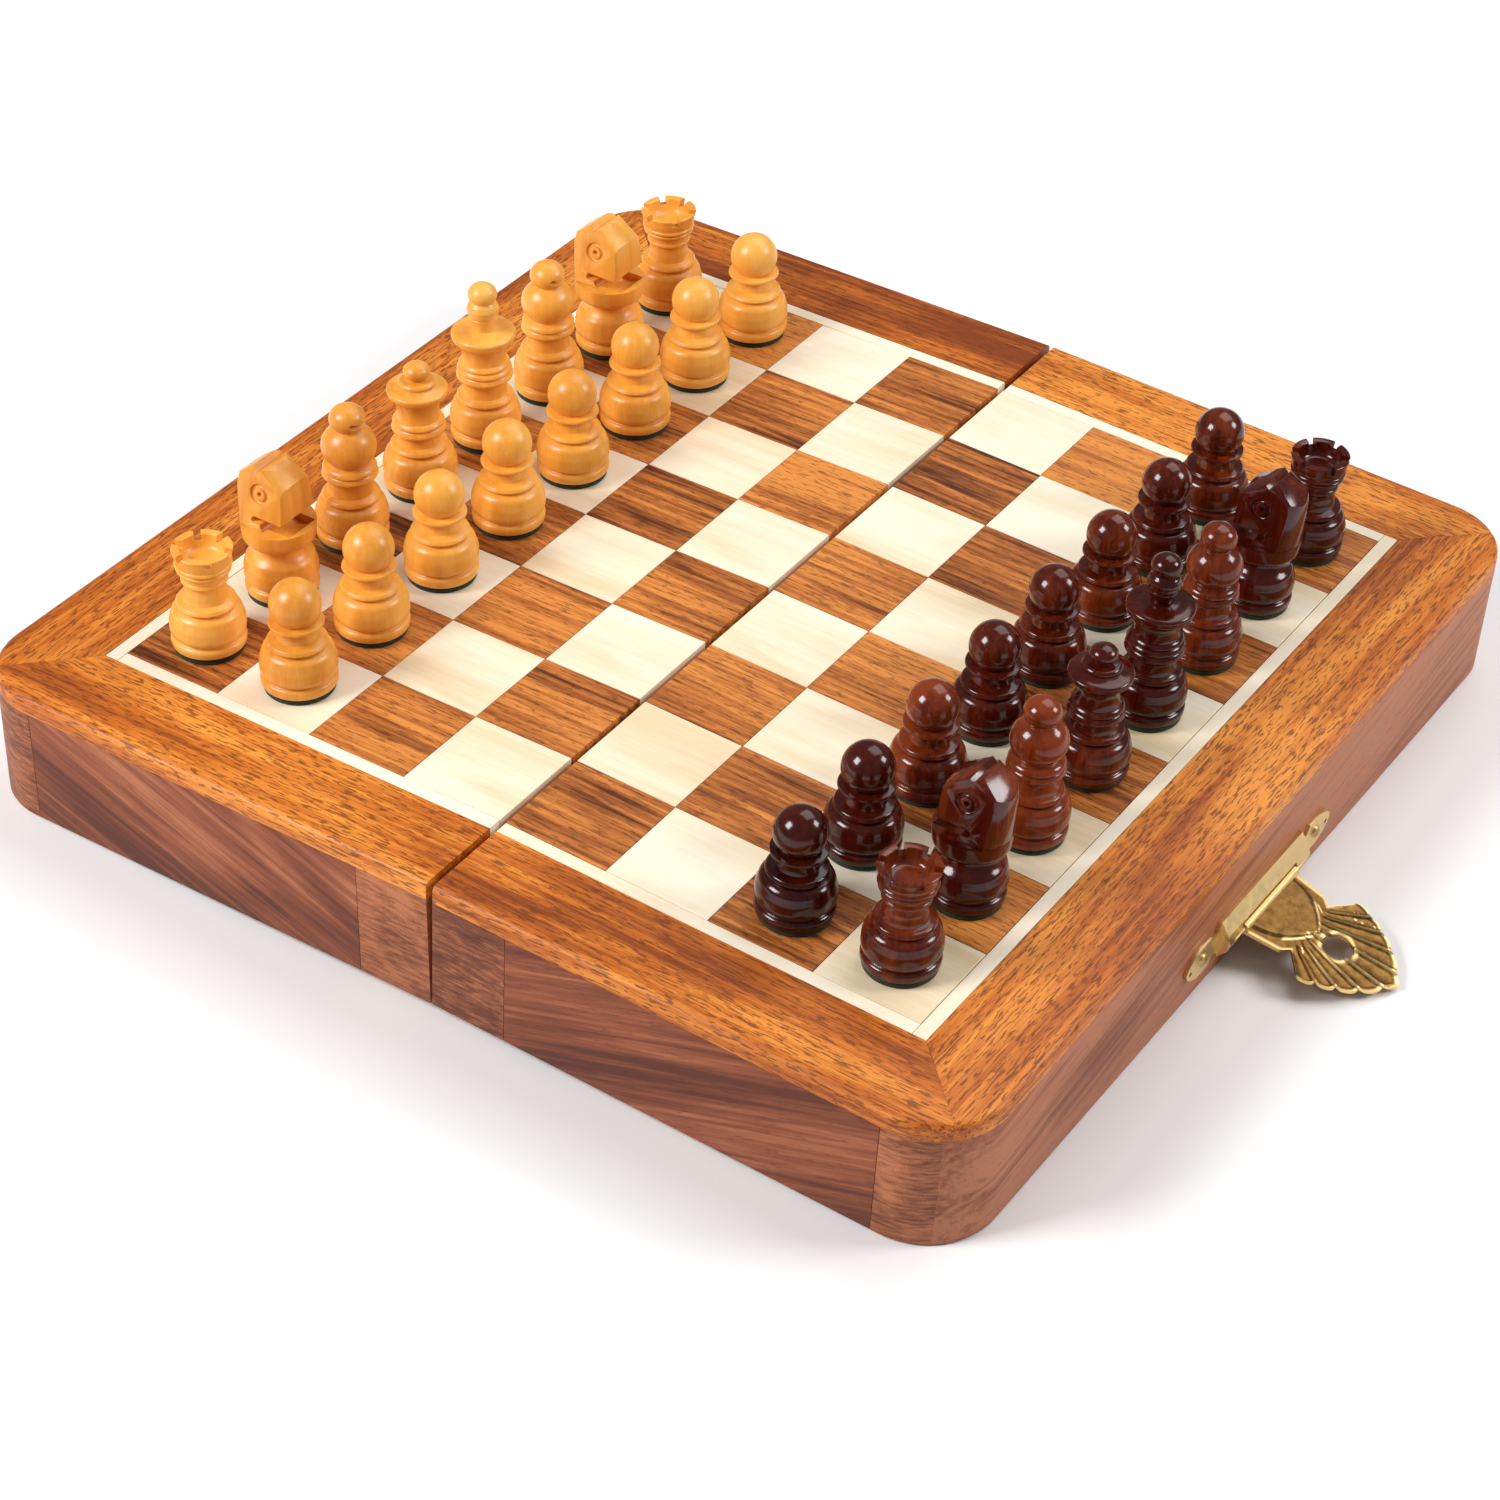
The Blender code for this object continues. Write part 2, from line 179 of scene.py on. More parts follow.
def settle(item, place=None):
    """Write the object's place into its mesh."""
    if place is not None:
        item.matrix_world = place @ item.matrix_world
    select_only(item)
    bpy.ops.object.transform_apply(location=True, rotation=True, scale=True)


def smooth(item, angle=35):
    select_only(item)
    bpy.ops.object.shade_smooth_by_angle(angle=math.radians(angle))


def copy_of(item, name):
    twin = item.copy()
    twin.data = item.data.copy()
    twin.name = name
    twin.data.name = name
    bpy.context.scene.collection.objects.link(twin)
    return twin


# %% Block and tool helpers
TOUCH = 0.0001


def just_added(name):
    """The primitive that was added last, with its name."""
    item = bpy.context.active_object
    item.name = name
    return item


def block(name, low, high):
    """A cube primitive at its size and place."""
    bpy.ops.object.select_all(action="DESELECT")
    low, high = Vector(low), Vector(high)
    bpy.ops.mesh.primitive_cube_add(size=1, location=(low + high) / 2)
    item = just_added(name)
    item.scale = high - low
    settle(item)
    return item


def rod(name, radius, start, end, sides=32):
    """A cylinder primitive between two points."""
    start, end = Vector(start), Vector(end)
    along = end - start
    bpy.ops.object.select_all(action="DESELECT")
    bpy.ops.mesh.primitive_cylinder_add(vertices=sides, radius=radius, depth=along.length)
    item = just_added(name)
    turn = Vector((0, 0, 1)).rotation_difference(along)
    item.matrix_world = Matrix.Translation((start + end) / 2) @ turn.to_matrix().to_4x4()
    settle(item)
    return item


def ease_edges(item, width, test, segments=3):
    """Bevel the edges that pass the test, given the edge's two ends."""
    start_editing(item, "EDGE")
    points = item.data.vertices

    def wanted(edge):
        return test(points[edge.vertices[0]].co, points[edge.vertices[1]].co)

    pick(item, wanted, "edges")
    bpy.ops.mesh.bevel(offset=width, offset_type="OFFSET", segments=segments, affect="EDGES")
    stop_editing()


def over(level):
    """A test for edges that lie wholly above a level."""
    return lambda a, b: min(a.z, b.z) > level


def one_point(name):
    """Merge a small plane to a single point, the start of any drawn line."""
    bpy.ops.object.select_all(action="DESELECT")
    bpy.ops.mesh.primitive_plane_add(size=0.001, location=(0, 0, 0))
    item = just_added(name)
    start_editing(item)
    bpy.ops.mesh.select_all(action="SELECT")
    bpy.ops.mesh.merge(type="CENTER")
    return item


def draw_line(name, points):
    """Extrude one point along a row of points; stays in edit mode."""
    item = one_point(name)
    here = Vector(points[0])
    bpy.ops.transform.translate(value=here)
    for point in points[1:]:
        step = Vector(point) - here
        bpy.ops.mesh.extrude_vertices_move(TRANSFORM_OT_translate={"value": step})
        here = Vector(point)
    return item


# %% [markdown]
# ## Finishes
#
# Wood is a long-grained material, so every pattern is stretched along the grain. Each wooden piece
# carries its own wood coordinates in a mesh attribute: x runs along that piece's grain, and a
# random offset means that no two pieces are cut from the same spot of the plank. A second
# attribute, tone, says how pale this piece's timber is, because every plank differs a little. On
# the right outer wall the tone is also raised as a painted highlight, for the glare on that face.

# %% Wood coordinates
dice = random.Random(7)


def give_grain(item, along=(1, 0, 0), up=(0, 0, 1), tone=0.5):
    """Store wood coordinates, in millimetres, and the piece's tone (on the right outer wall partly a
    painted highlight).
    """
    x_axis = Vector(along).normalized()
    y_axis = Vector(up).cross(x_axis).normalized()
    z_axis = x_axis.cross(y_axis)
    shift = Vector([dice.uniform(-900, 900) for _ in range(3)])
    place = item.data.attributes.new("wood", "FLOAT_VECTOR", "POINT")
    for k, vertex in enumerate(item.data.vertices):
        local = Vector((vertex.co.dot(x_axis), vertex.co.dot(y_axis), vertex.co.dot(z_axis)))
        place.data[k].vector = local * 1000 + shift
    shade = item.data.attributes.new("tone", "FLOAT", "POINT")
    for spot in shade.data:
        spot.value = tone


# %% Node helpers
class Recipe:
    """A short hand for wiring one material."""

    def __init__(self, name):
        self.material = bpy.data.materials.new(name)
        self.material.use_nodes = True
        self.tree = self.material.node_tree
        self.shader = self.tree.nodes["Principled BSDF"]

    def node(self, kind, **settings):
        item = self.tree.nodes.new(kind)
        for key, value in settings.items():
            setattr(item, key, value)
        return item

    def join(self, out, into):
        self.tree.links.new(out, into)

    def feed(self, socket, value):
        """Set a number or a colour, or link another node's output."""
        if isinstance(value, (int, float)):
            socket.default_value = value
        elif isinstance(value, tuple):
            socket.default_value = (*value, 1.0)
        else:
            self.join(value, socket)

    def scaled(self, vector, scale):
        change = self.node("ShaderNodeMapping")
        change.inputs["Scale"].default_value = scale
        self.join(vector, change.inputs["Vector"])
        return change.outputs["Vector"]

    def coordinates(self, scale):
        """Wood coordinates, scaled."""
        return self.scaled(self.node("ShaderNodeAttribute", attribute_name="wood").outputs["Vector"], scale)

    def object_coordinates(self, scale=(1, 1, 1)):
        return self.scaled(self.node("ShaderNodeTexCoord").outputs["Object"], scale)

    def noise(self, vector, scale, detail=4.0, roughness=0.55, distortion=0.0):
        item = self.node("ShaderNodeTexNoise")
        for label, value in (("Scale", scale), ("Detail", detail), ("Roughness", roughness),
                             ("Distortion", distortion), ("Vector", vector)):
            self.feed(item.inputs[label], value)
        return item.outputs["Fac"]

    def ramp(self, value, stops):
        """Colours or greys at positions along a value."""
        item = self.node("ShaderNodeValToRGB")
        band = item.color_ramp
        for k, (place, colour) in enumerate(stops):
            stop = band.elements[k] if k < 2 else band.elements.new(place)
            stop.position = place
            if isinstance(colour, (int, float)):
                colour = (colour, colour, colour)
            stop.color = (*colour, 1.0)
        self.join(value, item.inputs["Fac"])
        return item.outputs["Color"]

    def mix(self, kind, share, first, second):
        item = self.node("ShaderNodeMix", data_type="RGBA", blend_type=kind)
        for index, value in ((0, share), (6, first), (7, second)):
            self.feed(item.inputs[index], value)
        return item.outputs[2]

    def sum_up(self, operation, first, second):
        item = self.node("ShaderNodeMath", operation=operation)
        for socket, value in zip(item.inputs, (first, second)):
            self.feed(socket, value)
        return item.outputs[0]

    def bump(self, height, strength, distance):
        item = self.node("ShaderNodeBump")
        for label, value in (("Strength", strength), ("Distance", distance), ("Height", height)):
            self.feed(item.inputs[label], value)
        self.join(item.outputs["Normal"], self.shader.inputs["Normal"])

    def finish(self, colour, roughness, **sockets):
        self.feed(self.shader.inputs["Base Color"], colour)
        self.feed(self.shader.inputs["Roughness"], roughness)
        for key, value in sockets.items():
            self.feed(self.shader.inputs[key.replace("_", " ").title()], value)
        return self.material


# %% [markdown]
# ### One recipe for every wood
#
# The broad figure is a slow noise, the growth lines are a noise squeezed hard across the grain,
# and the pores are short dark dashes. A species only changes the colours and how strong each
# layer is. The lacquer is the shader's coat, and gleam is how strongly the bare wood reflects.

# %% Wood recipe
def wood(name, dark, mid, light, lines=0.5, pores=0.4, pore_colour=None, line_scale=1.0,
         pore_start=0.62, rings=(1.0, 1.0), spread=0.25, roughness=0.42, gleam=0.3,
         coat=0.05, coat_roughness=0.2, bump=0.12):
    """dark, mid and light are the timber's colours; rings squeezes the growth lines across."""
    make = Recipe(name)
    tone = make.node("ShaderNodeAttribute", attribute_name="tone").outputs["Fac"]
    figure = make.noise(make.coordinates((0.018, 0.09, 0.09)), 1.0, 3.0, 0.5, 0.6)
    across = [0.9 * line_scale * ring for ring in rings]
    growth = make.noise(make.coordinates((0.03 * line_scale, *across)), 1.0, 5.0, 0.62, 0.35)
    fibre = make.noise(make.coordinates((0.25, 6.0, 6.0)), 1.0, 3.0, 0.6)
    blend = make.sum_up("MULTIPLY", growth, lines)
    blend = make.sum_up("ADD", blend, make.sum_up("MULTIPLY", figure, 0.9 - lines * 0.5))
    blend = make.sum_up("ADD", blend, make.sum_up("MULTIPLY", fibre, 0.14))
    centre = 0.5 * (1.04 + 0.5 * lines)
    blend = make.sum_up("ADD", blend, make.sum_up("SUBTRACT", tone, centre))
    colour = make.ramp(blend, [(0.5 - spread, dark), (0.5, mid), (0.5 + spread, light)])
    dashes = make.noise(make.coordinates((0.42, 3.1, 3.1)), 1.0, 2.0, 0.5)
    pore = make.ramp(dashes, [(pore_start, 0.0), (pore_start + 0.05, 1.0)])
    strength = make.sum_up("MULTIPLY", pore, pores)
    colour = make.mix("MIX", strength, colour, pore_colour or tuple(c * 0.45 for c in dark))
    height = make.sum_up("SUBTRACT", make.sum_up("MULTIPLY", fibre, 0.5), strength)
    make.bump(height, bump, 0.0002)
    gloss = make.ramp(fibre, [(0.3, roughness - 0.05), (0.7, roughness + 0.08)])
    make.shader.inputs["Specular IOR Level"].default_value = gleam
    return make.finish(colour, gloss, coat_weight=coat, coat_roughness=coat_roughness)


# %% Species
boxwood = wood("boxwood", (0.66, 0.225, 0.018), (0.90, 0.40, 0.055), (0.96, 0.54, 0.12),
               lines=0.30, pores=0.05, roughness=0.34, gleam=0.5, coat=0.1, coat_roughness=0.25,
               bump=0.03)
dark_rosewood = wood("dark_rosewood", (0.014, 0.0012, 0.0006), (0.068, 0.0064, 0.0022),
                     (0.220, 0.036, 0.007), lines=0.45, pores=0.10, spread=0.24, roughness=0.13,
                     gleam=0.42, coat=0.0, bump=0.03)
maple = wood("maple", (0.82, 0.63, 0.39), (0.92, 0.77, 0.56), (0.97, 0.86, 0.68),
             lines=0.28, pores=0.04, spread=0.14, roughness=0.45, bump=0.03)
walnut = wood("dark_squares", (0.090, 0.020, 0.005), (0.44, 0.130, 0.025), (0.74, 0.270, 0.055),
              lines=0.80, pores=0.55, pore_start=0.57, spread=0.16, roughness=0.45,
              bump=0.10)
margin_wood = wood("margin_rosewood", (0.24, 0.046, 0.005), (0.55, 0.140, 0.013),
                   (0.82, 0.295, 0.042), lines=0.6, pores=0.75, pore_colour=(0.15, 0.032, 0.006),
                   pore_start=0.545, spread=0.15, roughness=0.45, bump=0.18)
wall_wood = wood("wall_rosewood", (0.11, 0.022, 0.008), (0.27, 0.068, 0.024), (0.46, 0.160, 0.070),
                 lines=0.55, pores=0.35, spread=0.13, roughness=0.5, bump=0.08)
end_grain = wood("wall_end_grain", (0.055, 0.014, 0.006), (0.19, 0.052, 0.021),
                 (0.50, 0.170, 0.070), lines=0.85, pores=0.3, line_scale=1.5, rings=(0.22, 1.5),
                 spread=0.24, roughness=0.58, bump=0.15)
plywood = wood("deck_plywood", (0.42, 0.25, 0.12), (0.58, 0.38, 0.20), (0.68, 0.48, 0.28),
               lines=0.5, pores=0.2, roughness=0.65, coat=0.0, bump=0.1)
print("eight woods mixed")

# %% [markdown]
# ### Brass, felt and steel
#
# The clasp is pressed from sheet brass and then aged: brown lies in the hollows and the raised
# edges are rubbed bright. Pointiness finds sharp edges on the real shape, and a mesh attribute
# called wear marks the ridges of the pressing. The felt is a matt fibre mat, so it gets a fine
# bump and some sheen instead of any gloss. Its near-black green is partly the felt's own colour
# and partly painted shade, the contact shadow under each man's foot.

# %% Metal and felt
def aged_brass(name, deep, warm, bright, rough):
    make = Recipe(name)
    spots = make.noise(make.object_coordinates(), 900.0, 4.0, 0.6)
    grit = make.noise(make.object_coordinates(), 5200.0, 2.0, 0.6)
    patina = make.ramp(spots, [(0.35, deep), (0.68, warm)])
    edge = make.node("ShaderNodeNewGeometry").outputs["Pointiness"]
    worn = make.node("ShaderNodeAttribute", attribute_name="wear").outputs["Fac"]
    rubbed = make.sum_up("MAXIMUM", make.ramp(edge, [(0.52, 0.0), (0.60, 0.8)]), worn)
    colour = make.mix("MIX", rubbed, patina, bright)
    gloss = make.ramp(spots, [(0.3, rough - 0.08), (0.7, rough + 0.10)])
    make.bump(grit, 0.10, 0.0001)
    return make.finish(colour, gloss, metallic=1.0)


def felt_mat(name, dark, light):
    make = Recipe(name)
    fibres = make.noise(make.object_coordinates(), 4200.0, 6.0, 0.7, 0.8)
    patches = make.noise(make.object_coordinates(), 700.0, 2.0, 0.5)
    share = make.sum_up("ADD", make.sum_up("MULTIPLY", fibres, 0.7),
                        make.sum_up("MULTIPLY", patches, 0.3))
    colour = make.ramp(share, [(0.35, dark), (0.65, light)])
    make.bump(fibres, 0.6, 0.0003)
    return make.finish(colour, 0.95, sheen_weight=0.12, sheen_roughness=0.5)


def rolled_steel(name):
    make = Recipe(name)
    lines = make.noise(make.object_coordinates((40, 900, 900)), 1.0, 3.0, 0.6)
    colour = make.ramp(lines, [(0.3, (0.06, 0.06, 0.065)), (0.7, (0.14, 0.14, 0.15))])
    gloss = make.ramp(lines, [(0.3, 0.28), (0.7, 0.42)])
    make.bump(lines, 0.05, 0.0001)
    return make.finish(colour, gloss, metallic=1.0)


clasp_brass = aged_brass("clasp_brass", (0.14, 0.068, 0.018), (0.31, 0.17, 0.050),
                         (0.95, 0.68, 0.30), 0.38)
plate_brass = aged_brass("plate_brass", (0.26, 0.145, 0.042), (0.52, 0.31, 0.105),
                         (0.92, 0.68, 0.32), 0.36)
hinge_brass = aged_brass("hinge_brass", (0.44, 0.29, 0.10), (0.68, 0.47, 0.19), (0.9, 0.7, 0.36), 0.32)
# Painted shade: the felt's colours are near black, partly the felt's own green and partly the contact
# shadow under each man's foot painted in.
green_felt = felt_mat("green_felt", (0.004, 0.012, 0.004), (0.014, 0.036, 0.012))
steel = rolled_steel("sheet_steel")

# %% [markdown]
# ## Finishing a piece
#
# Every piece ends the same way: its place goes into its mesh, it gets its finish, it is told
# which body it moves with, and the imported solid it stands for is hidden.

# %% One call for the last steps
def finish_packed(node, material):
    """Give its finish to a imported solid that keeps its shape."""
    part = frame["nodes"][node]
    part.data.materials.clear()
    part.data.materials.append(material)


def deliver(item, material, body, stands_for=(), place=None):
    settle(item, place)
    if not item.data.materials:
        item.data.materials.append(material)
    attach(item, body)
    if stands_for:
        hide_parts(*stands_for)
    return item


# %% [markdown]
# ## The sixty-four squares
#
# The playing field is veneer: square tiles of pale maple and of dark, streaky wood, glued side by
# side. Their grain runs across the fold. A tile is a thin block with eased edges, so that the
# joints show as fine dark lines. One tile is modelled, and the others are copies.

# %% A tile
JOINT = 0.00012
master_tile = block("tile", (-SQUARE / 2 + JOINT / 2, -SQUARE / 2 + JOINT / 2, TOP - FIELD_T),
                    (SQUARE / 2 - JOINT / 2, SQUARE / 2 - JOINT / 2, TOP))
ease_edges(master_tile, 0.00007, over(TOP - TOUCH), segments=2)
print("tile of", len(master_tile.data.polygons), "faces")

# %% Lay the tiles
FILES = 8
MIDDLE = (FILES - 1) / 2
for file_number in range(FILES):
    side_name = "left" if file_number < MIDDLE else "right"
    for rank in range(FILES):
        dark = (file_number + rank) % 2 == 0
        kind = "dark" if dark else "light"
        tile = copy_of(master_tile, "%s_square_%d_%d" % (kind, file_number + 1, rank + 1))
        x, y = (file_number - MIDDLE) * SQUARE, (rank - MIDDLE) * SQUARE
        tile.matrix_world = Matrix.Translation((x, y, 0))
        deliver(tile, walnut if dark else maple, BODY[side_name],
                [side_name + "_field"], PLACE[side_name])
        give_grain(tile, tone=dice.uniform(0.46, 0.64) if dark else dice.uniform(0.44, 0.62))
discard(master_tile)

# %% [markdown]
# ## The pale border
#
# A narrow maple fillet frames the squares. The outer fillet runs the whole length, and the two
# short ones butt against it.

# %% Fillets
BORDER_IN = 4 * SQUARE
BORDER_OUT = in_half("right_border", "right")[1].x
SEAM = 0.00010


def fillet(name, side_name, low, high, along):
    side = SIDES[side_name]
    low, high = Vector(low), Vector(high)
    if side < 0:
        low.x, high.x = -high.x, -low.x
    item = block(name, low, high)
    ease_edges(item, 0.00006, over(TOP - TOUCH), segments=2)
    deliver(item, maple, BODY[side_name], [side_name + "_border"], PLACE[side_name])
    give_grain(item, along=along, tone=dice.uniform(0.55, 0.68))


for side_name in SIDES:
    fillet(side_name + "_border_outer", side_name, (BORDER_IN + SEAM, -BORDER_OUT, TOP - LAYER),
           (BORDER_OUT, BORDER_OUT, TOP), (0, 1, 0))
    for end, sign in ENDS.items():
        edges = sorted((sign * (BORDER_IN + SEAM), sign * BORDER_OUT))
        fillet(side_name + "_border_" + end, side_name, (FOLD_FACE, edges[0], TOP - LAYER),
               (BORDER_IN, edges[1], TOP), (1, 0, 0))
print("border %.1f mm wide" % ((BORDER_OUT - BORDER_IN) * 1000))

# %% [markdown]
# ## The rosewood margin
#
# The wide strips outside the border are mitred like a picture frame. It is easiest to start from
# one blank of the whole half, with its corners and its top edge already rounded, and to saw each
# strip out of a copy with bisect cuts.

# %% The blank
def half_blank(name, low, high, round_top):
    """One half of the board as a slab with two rounded corners, x outwards."""
    item = block(name, (FOLD_FACE, -HALF, low), (HALF, HALF, high))
    ease_edges(item, CORNER_R, lambda a, b: min(a.x, b.x) > HALF - TOUCH and abs(a.z - b.z) > 0.001,
               segments=14)
    if round_top:
        ease_edges(item, round_top, lambda a, b: min(a.z, b.z) > high - TOUCH
                   and max(a.x, b.x) > FOLD_FACE + TOUCH, segments=4)
    return item


def saw(item, point, away):
    """Cut along a plane and drop the side that away points to."""
    start_editing(item)
    bpy.ops.mesh.select_all(action="SELECT")
    bpy.ops.mesh.bisect(plane_co=point, plane_no=away, use_fill=True, clear_outer=True)
    stop_editing()


def mirrored(item):
    """Turn a right-hand piece into a left-hand one."""
    item.scale.x = -1
    settle(item)
    start_editing(item)
    face_outwards()


MARGIN_IN = BORDER_OUT + SEAM
EDGE_ROUND = 0.0011
top_blank = half_blank("top_blank", TOP - LAYER, TOP, EDGE_ROUND)
tones = {"left_outer": 0.50, "left_near": 0.54, "left_far": 0.42,
         "right_outer": 0.54, "right_near": 0.49, "right_far": 0.60}
SAW = 0.00005

# %% Saw out the strips
for side_name, side in SIDES.items():
    outer = copy_of(top_blank, side_name + "_margin_outer")
    saw(outer, (MARGIN_IN, 0, 0), (-1, 0, 0))
    strips = {"outer": (outer, (0, 1, 0))}
    for end, sign in ENDS.items():
        corner = Vector((MARGIN_IN, sign * MARGIN_IN, TOP))
        saw(outer, corner + Vector((SAW, -sign * SAW, 0)) / 2, (-1, sign, 0))
        strip = copy_of(top_blank, side_name + "_margin_" + end)
        saw(strip, (0, sign * MARGIN_IN, 0), (0, -sign, 0))
        saw(strip, corner - Vector((SAW, -sign * SAW, 0)) / 2, (1, -sign, 0))
        strips[end] = (strip, (1, 0, 0))
    for part, (strip, along) in strips.items():
        if side < 0:
            mirrored(strip)
        smooth(strip, 30)
        deliver(strip, margin_wood, BODY[side_name], [side_name + "_frame"],
                PLACE[side_name])
        give_grain(strip, along=along, tone=tones[side_name + "_" + part])
discard(top_blank)
print("six mitred strips")

# %% [markdown]
# ## The walls of the two trays
#
# Each half is a shallow tray with thick walls. The outer and the fold walls run the full depth,
# so their end grain shows on the near and far faces. The hinges are let into the rims of the
# fold walls, which therefore have a pocket for each leaf and room for the knuckles.

# %% Wall blanks
STRIP_UNDER = TOP - LAYER - 0.00004
wall_blank = half_blank("wall_blank", RIM, STRIP_UNDER, 0)
HINGE_Y = middle("far_hinge_pin").y
HINGE_LEN = (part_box("far_hinge_pin")[1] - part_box("far_hinge_pin")[0]).y
leaf_low, leaf_high = in_half("far_hinge_right_leaf", "right")
KNUCKLE_R = -leaf_low.z
LEAF_REACH = leaf_high.x
LEAF_T = 0.0008
LEAF_LOW = RIM + 0.0001
CLEAR = 0.0003
ROOM = KNUCKLE_R + 0.0005


def wall_piece(name, side_name, low_x, high_x, low_y, high_y, grain, tone):
    item = copy_of(wall_blank, side_name + "_" + name + "_wood")
    for value, axis, sign in ((low_x, 0, -1), (high_x, 0, 1), (low_y, 1, -1), (high_y, 1, 1)):
        if value is not None:
            point = [0, 0, 0]
            away = [0, 0, 0]
            point[axis] = value
            away[axis] = sign
            saw(item, point, away)
    if name == "hinge_wall":
        for place in (-HINGE_Y, HINGE_Y):
            for reach, height in ((LEAF_REACH + CLEAR, LEAF_LOW + LEAF_T + CLEAR), (ROOM, ROOM)):
                cut(item, block("pocket", (-0.002, place - HINGE_LEN / 2 - CLEAR, -0.002),
                                (reach, place + HINGE_LEN / 2 + CLEAR, height)))
    ease_edges(item, 0.00025, lambda a, b: max(a.z, b.z) < RIM + TOUCH, segments=2)
    if SIDES[side_name] < 0:
        mirrored(item)
    smooth(item, 30)
    item.data.materials.append(wall_wood)
    item.data.materials.append(end_grain)
    if name in ("hinge_wall", "outer_wall"):
        for face in item.data.polygons:
            face.material_index = int(abs(face.normal.y) > 0.8)
    deliver(item, wall_wood, BODY[side_name], [side_name + "_" + name], PLACE[side_name])
    give_grain(item, along=grain, tone=tone)


# %% Cut the eight walls
INNER = HALF - WALL
for side_name, side in SIDES.items():
    # Painted highlight: the right outer wall gets a paler tone than the left, 0.62 against 0.52, standing
    # in for the glare that falls on that face.
    wall_piece("outer_wall", side_name, INNER, None, None, None, (0, 1, 0.12), 0.57 + 0.05 * side)
    wall_piece("hinge_wall", side_name, None, WALL, None, None, (0.25, 1, 0.1), 0.56 - 0.05 * side)
    wall_piece("near_wall", side_name, WALL + SEAM, INNER - SEAM, None, WALL - HALF,
               (1, 0, 0.35 * side), 0.47)
    wall_piece("far_wall", side_name, WALL + SEAM, INNER - SEAM, HALF - WALL, None,
               (1, 0, -0.3 * side), 0.5)
discard(wall_blank)
print("eight walls, %.1f mm thick" % (WALL * 1000))

# %% [markdown]
# ## The deck, the steel sheet and the lining
#
# A plywood deck closes each tray, and a steel sheet over it gives the magnets something to hold.
# The squares hide both from above. The men would rattle in a bare box, so the inside of each tray,
# which is the underside of the deck, is lined with green felt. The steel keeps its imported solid
# and only needs a finish.

# %% Deck, steel and felt lining
LINING_T = 0.0007
LINING_ROOM = 0.0004
for side_name, side in SIDES.items():
    low, high = in_half(side_name + "_deck", side_name)
    deck = block(side_name + "_deck_ply", low, high)
    ease_edges(deck, 0.0003, lambda a, b: True, segments=2)
    deliver(deck, plywood, BODY[side_name], [side_name + "_deck"], PLACE[side_name])
    give_grain(deck, along=(0, 1, 0))
    finish_packed(side_name + "_steel_sheet", steel)

    start = Vector((WALL + LINING_ROOM, -INNER + LINING_ROOM, 0))
    end = Vector((INNER - LINING_ROOM, INNER - LINING_ROOM, 0))
    size = end - start
    bpy.ops.object.select_all(action="DESELECT")
    bpy.ops.mesh.primitive_grid_add(x_subdivisions=30, y_subdivisions=60, size=1)
    lining = just_added(side_name + "_lining")
    lining.scale = (size.x, size.y, 1)
    lining.location = ((start.x + end.x) / 2 * side, 0, low.z - LINING_T - 0.00005)
    settle(lining)
    for spot in lining.data.vertices:
        spot.co.z += 0.00008 * math.sin(spot.co.x * 310) * math.sin(spot.co.y * 270)
    apply_modifier(lining, "SOLIDIFY", thickness=LINING_T - 0.0001, offset=1)
    deliver(lining, green_felt, BODY[side_name], (), PLACE[side_name])
print("lining %.0f x %.0f mm" % (size.x * 1000, size.y * 1000))

# %% [markdown]
# ## The hinges
#
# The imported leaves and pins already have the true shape, so they get brass. Each leaf is held by
# two small countersunk screws. One screw is modelled, slot and all, and the others are copies.

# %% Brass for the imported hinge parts
for node in frame["nodes"]:
    if "_hinge_" in node and not node.endswith("wall"):
        finish_packed(node, hinge_brass)

# %% A screw and its copies
SCREW_R = 0.0015
SCREW_PROUD = 0.00008
screw = rod("screw", SCREW_R, (0, 0, LEAF_LOW - SCREW_PROUD), (0, 0, LEAF_LOW + 0.0003), 40)
ease_edges(screw, 0.0002, lambda a, b: max(a.z, b.z) < LEAF_LOW, segments=3)
SLOT_HALF = 0.00018
cut(screw, block("screw_slot", (-0.002, -SLOT_HALF, LEAF_LOW - 0.001),
                 (0.002, SLOT_HALF, LEAF_LOW + 0.00012)))
smooth(screw, 40)
SCREW_X = (ROOM + LEAF_REACH) / 2
for side_name, side in SIDES.items():
    for end, sign in ENDS.items():
        for k, offset in enumerate((-0.3, 0.3)):
            twin = copy_of(screw, "%s_%s_hinge_screw_%d" % (side_name, end, k + 1))
            spot = Matrix.Translation((side * SCREW_X, sign * HINGE_Y + offset * HINGE_LEN, 0))
            turn = Matrix.Rotation(dice.uniform(0, math.pi), 4, "Z")
            deliver(twin, hinge_brass, BODY[side_name], (), PLACE[side_name] @ spot @ turn)
discard(screw)
print("eight screws in four leaves")

# %% [markdown]
# ## The clasp tongue
#
# The tongue is one brass pressing: a raised shield next to the pin, a waist, and a scallop shell
# with ridges that fan out to a scalloped rim. It is easiest to press it as the factory does. A
# flat grid is the blank, and each of its points is moved to where the die would put it. Then the
# hole is punched, the sheet gets its thickness, and the rolled edge round the pin is joined on.

